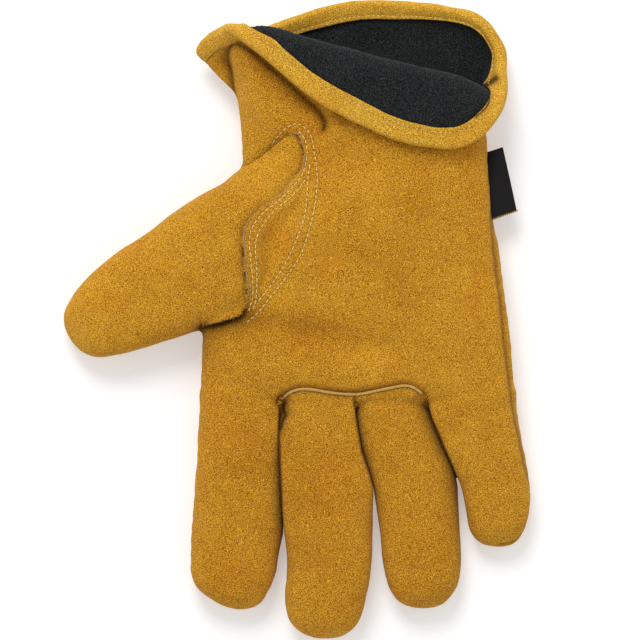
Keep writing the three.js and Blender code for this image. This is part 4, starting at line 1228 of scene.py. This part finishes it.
faces = grid_faces(out_ids) + [face[::-1] for face in grid_faces(in_ids)]
for end in (0, -1):
    rim = grid_faces(np.stack([out_ids[:, end], in_ids[:, end]], axis=1))
    faces += rim if end else [face[::-1] for face in rim]
points = np.vstack([outside.reshape(-1, 3), inside.reshape(-1, 3)])


def fleece(name):
    """Brushed pile: black with a faint grey bloom, clumped, and lit at grazing angles."""
    material, start = new_finish(name)
    clumps = grain(start, 1.4, 3.0, 0.65)
    hairs = grain(start, 0.34, 0.0)
    wide = grain(start, 16.0)
    dust = grain(start, 0.5, 0.0)
    colour = coloured(clumps * 0.2 + hairs * 1.9 + wide * 0.25 - 0.66, [
        (0.2, paint(12, 14, 14)), (0.55, paint(29, 31, 32)), (0.9, paint(58, 60, 60))])
    colour = mixed(start.maths("GREATER_THAN", dust, 0.83) * 0.6, colour, paint(120, 104, 66), "MIX")
    bump = start.node("ShaderNodeBump", None, {
        "Strength": 0.7, "Distance": 0.0006, "Height": clumps * 0.7 + hairs * 0.5})
    finished(start, {
        "Base Color": colour, "Roughness": 1.0, "Normal": bump, "Specular IOR Level": 0.1,
        "Sheen Weight": 0.12, "Sheen Roughness": 0.5, "Sheen Tint": paint(170, 176, 180)})
    return material


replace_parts(add_piece("lining", points, faces, [fleece("fleece")], "fleece"), "lining")

# Stitches. Cream thread runs through the leather in short visible lengths, in rows beside the thumb
# and in one row on each side of the hem. Each length is a capsule whose ends sink into the leather.
# Pitch, length, radius, lift above the leather, and how unevenly they lie
THUMB_THREAD = (2.25, 1.75, 0.16, 0.14, 0.16)
HEM_THREAD = (1.95, 1.3, 0.13, -0.02, 0.32)
CAPSULE = [0.55, 0.9, 1, 1, 1, 0.9, 0.55]
CAPSULE_DIP, CAPSULE_STRETCH = 0.55, 0.35
BARE_OF_STITCHES = (48, 330)


def stitch_row(line, find, pitch, length, radius, lift, uneven):
    """The stitches that fit in along a line, each as its points and faces."""
    steps = lengths_along(line)
    shares = np.linspace(-0.5, 0.5, len(CAPSULE))
    stitches = []
    for number, middle in enumerate(np.arange(pitch / 2, steps[-1], pitch)):
        wander = noise.noise(Vector((number * 1.7, len(line), 0)))
        along = middle + shares * length * (1 + CAPSULE_STRETCH * wander)
        if along[-2] <= steps[-1]:
            path, up = find(at_lengths(along, steps, line))
            above = lift + uneven * wander - CAPSULE_DIP * (2 * np.abs(shares)) ** 4
            stitches.append(swept(path + above[:, None] * up, radius * np.array(CAPSULE)))
    return stitches


def on_leather(spots):
    """The places on the leather below the given ones, and the way up from them."""
    return dropped(spots[:, :2]), np.array([[0, 0, 1.0]])


def on_hem(spots):
    """The given places on the hem, and the way out of it there."""
    nearest = np.argmin(((spots[:, None] - hem_line[None]) ** 2).sum(axis=2), axis=1)
    return spots, hem_line_out[nearest]


def thread(name, dark, light):
    """Twisted thread, with painted shade between its strands as fine darker noise."""
    material, start = new_finish(name)
    colour = coloured(grain(start, 0.3, 1.0), [(0.3, dark), (0.65, light)])
    finished(start, {"Base Color": colour, "Roughness": 0.7, "Sheen Weight": 0.2})
    return material


THREAD = thread("thread", paint(214, 186, 96), paint(255, 244, 176))
points, faces = together(
    [stitch for line in stitch_lines for stitch in stitch_row(line, on_leather, *THUMB_THREAD)])
add_piece("thumb_stitches", points, faces, [THREAD], "thread")
hem_grid = hem_shape.reshape(columns, HEM_ROUND, 3)
hem_away = hem_out.reshape(columns, HEM_ROUND, 3)
off_row = np.abs(hem_back - HEM_STITCHES)
inner_side = np.argmin(np.where(hem_in < HEM_INSIDE, np.inf, off_row))
outer_side = np.argmin(np.where(hem_in > 0, np.inf, off_row))
bared = (turns < BARE_OF_STITCHES[0]) | (turns > BARE_OF_STITCHES[1])
sewn = (np.flatnonzero(~bared & np.roll(bared, 1))[0] + np.arange(columns)) % columns
hem_stitches = []
for side, order in ((inner_side, np.arange(columns + 1) % columns), (outer_side, sewn[~bared[sewn]])):
    hem_line, hem_line_out = hem_grid[order, side], hem_away[order, side]
    hem_stitches += stitch_row(hem_line, on_hem, *HEM_THREAD)
add_piece("hem_stitches", *together(hem_stitches), [THREAD], "thread")

# Label tab. A short black woven tape is caught in the side seam and stands out of it, bare, with
# a cut end bound in black and mustard thread.
TAB_INNER = [[76.4, 68.0, 14.5], [77.2, 55.0, 14.8], [78.6, 40.6, 14.5]]
TAB_OUTER = [[83.0, 70.0, 16.0], [86.0, 57.0, 13.8], [88.8, 44.3, 11.8]]
TAB_THICK, TAB_CROWN = 0.8, 0.7
TAB_ACROSS, TAB_ALONG = 22, 60
# The binding's loops of thread: how many, the thread's radius, the points along each and where it
# starts and ends in half turns; its size, how far back and up it is set, and its slant
BINDING_LOOPS, BINDING_RADIUS, LOOP_POINTS, LOOP_TURNS = 13, 0.2, 7, (-0.3, 1.3)
LOOP_SIZE, LOOP_BACK, LOOP_UP, LOOP_SLANT = 0.35, 0.15, 0.1, 0.28


def woven_tape(name):
    """Black satin tape with a fine diagonal rib."""
    material, start = new_finish(name)
    place = start.node("ShaderNodeTexCoord", None, None, "Object")
    turned = start.node("ShaderNodeMapping", None, {"Vector": place, "Rotation": (0, 0, 0.7)})
    ribs = start.node("ShaderNodeTexWave", {"bands_direction": "X"}, {
        "Vector": turned, "Scale": 420.0, "Distortion": 0.4, "Detail": 1.0})
    colour = coloured(ribs, [(0.1, paint(10, 9, 10)), (0.9, paint(34, 32, 33))])
    bump = start.node("ShaderNodeBump", None, {"Strength": 0.5, "Distance": 0.0002, "Height": ribs})
    finished(start, {"Base Color": colour, "Roughness": 0.6, "Normal": bump, "Specular IOR Level": 0.12})
    return material


inner_edge, outer_edge = curve(TAB_INNER, TAB_ALONG), curve(TAB_OUTER, TAB_ALONG)
share = np.linspace(0, 1, TAB_ACROSS)[None, :, None]
tab = inner_edge[:, None] * (1 - share) + outer_edge[:, None] * share
tab[..., 2] += TAB_CROWN * np.sin(math.pi * share[..., 0])
tab_ids = np.arange(TAB_ALONG * TAB_ACROSS).reshape(TAB_ALONG, TAB_ACROSS)
tab_corners = tab_ids[:-1, :-1], tab_ids[:-1, 1:], tab_ids[1:, 1:], tab_ids[1:, :-1]
a, b, c, d = (ids.ravel() for ids in tab_corners)
tab_triangles = np.vstack([np.stack([a, c, b], axis=1), np.stack([a, d, c], axis=1)])
tab_out = normals_of(tab.reshape(-1, 3), tab_triangles)
if tab_out[:, 2].mean() < 0:
    tab_triangles, tab_out = tab_triangles[:, ::-1], -tab_out
_, points, faces, _ = with_thickness(tab.reshape(-1, 3), tab_triangles, tab_out, TAB_THICK)
label = add_piece("label_tab", points, faces, [woven_tape("tape")], "webbing", None, None, SHARP)
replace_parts(label, "label_tab")
down_the_tab = (tab[-1] - tab[-2]) / np.linalg.norm(tab[-1] - tab[-2], axis=1)[:, None]
turn = np.linspace(*LOOP_TURNS, LOOP_POINTS)[:, None] * math.pi
slant = np.linspace(-LOOP_SLANT, LOOP_SLANT, LOOP_POINTS)[:, None] * np.array([1, 0.36, 0])
height = LOOP_SIZE * np.cos(turn) - TAB_THICK / 2 + LOOP_UP
binding = []
for spot in np.linspace(0, TAB_ACROSS - 1, BINDING_LOOPS + 1)[1:]:
    middle, onward = (at_lengths(spot, np.arange(TAB_ACROSS), line) for line in (tab[-1], down_the_tab))
    path = middle + onward * (LOOP_SIZE * np.sin(turn) - LOOP_BACK) + height * np.array([0, 0, 1]) + slant
    binding.append(swept(path, np.full(LOOP_POINTS, BINDING_RADIUS)))
MUSTARD = thread("mustard", paint(150, 98, 16), paint(214, 152, 44))
add_piece("label_binding", *together(binding), [MUSTARD], "thread")

# Floor, light and camera. The glove lies on a plain pale floor in a white studio, with one large soft
# lamp beyond its cuff. The camera looks straight down from far off, as the photograph does.
FLOOR_SIZE, FLOOR_SHADE, FLOOR_GLOW = 8.0, 0.75, 0.32
STUDIO_LIGHT = 0.68
LAMP_PLACE, LAMP_SIZE, LAMP_WATTS = (-0.25, 1.1, 1.3), 0.8, 16
CAMERA_HEIGHT, CAMERA_ACROSS = 2.4, 0.0089
SEEN_WIDTH, SEEN_HEIGHT = 0.2598, 0.012
SENSOR, VIEW_LIMIT = 36.0, 20


def placed_in_scene(name, data, place=(0, 0, 0)):
    """An object of the scene at a place."""
    thing = bpy.data.objects.new(name, data)
    thing.location = place
    bpy.context.scene.collection.objects.link(thing)
    return thing


half = FLOOR_SIZE / 2
floor_mesh = bpy.data.meshes.new("floor")
floor_corners = [(-half, -half, 0), (half, -half, 0), (half, half, 0), (-half, half, 0)]
floor_mesh.from_pydata(floor_corners, [], [(0, 1, 2, 3)])
floor_finish, start = new_finish("floor")
finished(start, {
    "Base Color": [FLOOR_SHADE, FLOOR_SHADE, FLOOR_SHADE, 1], "Roughness": 0.9,
    "Emission Color": [1, 1, 1, 1], "Emission Strength": FLOOR_GLOW})
floor_mesh.materials.append(floor_finish)
placed_in_scene("floor", floor_mesh)

world = bpy.data.worlds.new("studio")
world.use_nodes = True
background = world.node_tree.nodes["Background"]
background.inputs["Color"].default_value = [1, 1, 1, 1]
background.inputs["Strength"].default_value = STUDIO_LIGHT
bpy.context.scene.world = world

lamp = bpy.data.lights.new("key", "AREA")
lamp.shape = "DISK"
lamp.size = LAMP_SIZE
lamp.energy = LAMP_WATTS
holder = placed_in_scene("key", lamp, LAMP_PLACE)
holder.rotation_euler = (-Vector(LAMP_PLACE)).to_track_quat("-Z", "Y").to_euler()

camera = bpy.data.cameras.new("camera")
camera.sensor_width = SENSOR
camera.lens = SENSOR * (CAMERA_HEIGHT - SEEN_HEIGHT) / SEEN_WIDTH
camera.clip_end = VIEW_LIMIT
bpy.context.scene.camera = placed_in_scene("camera", camera, (CAMERA_ACROSS, 0, CAMERA_HEIGHT))
bpy.context.scene.view_settings.view_transform = "Standard"
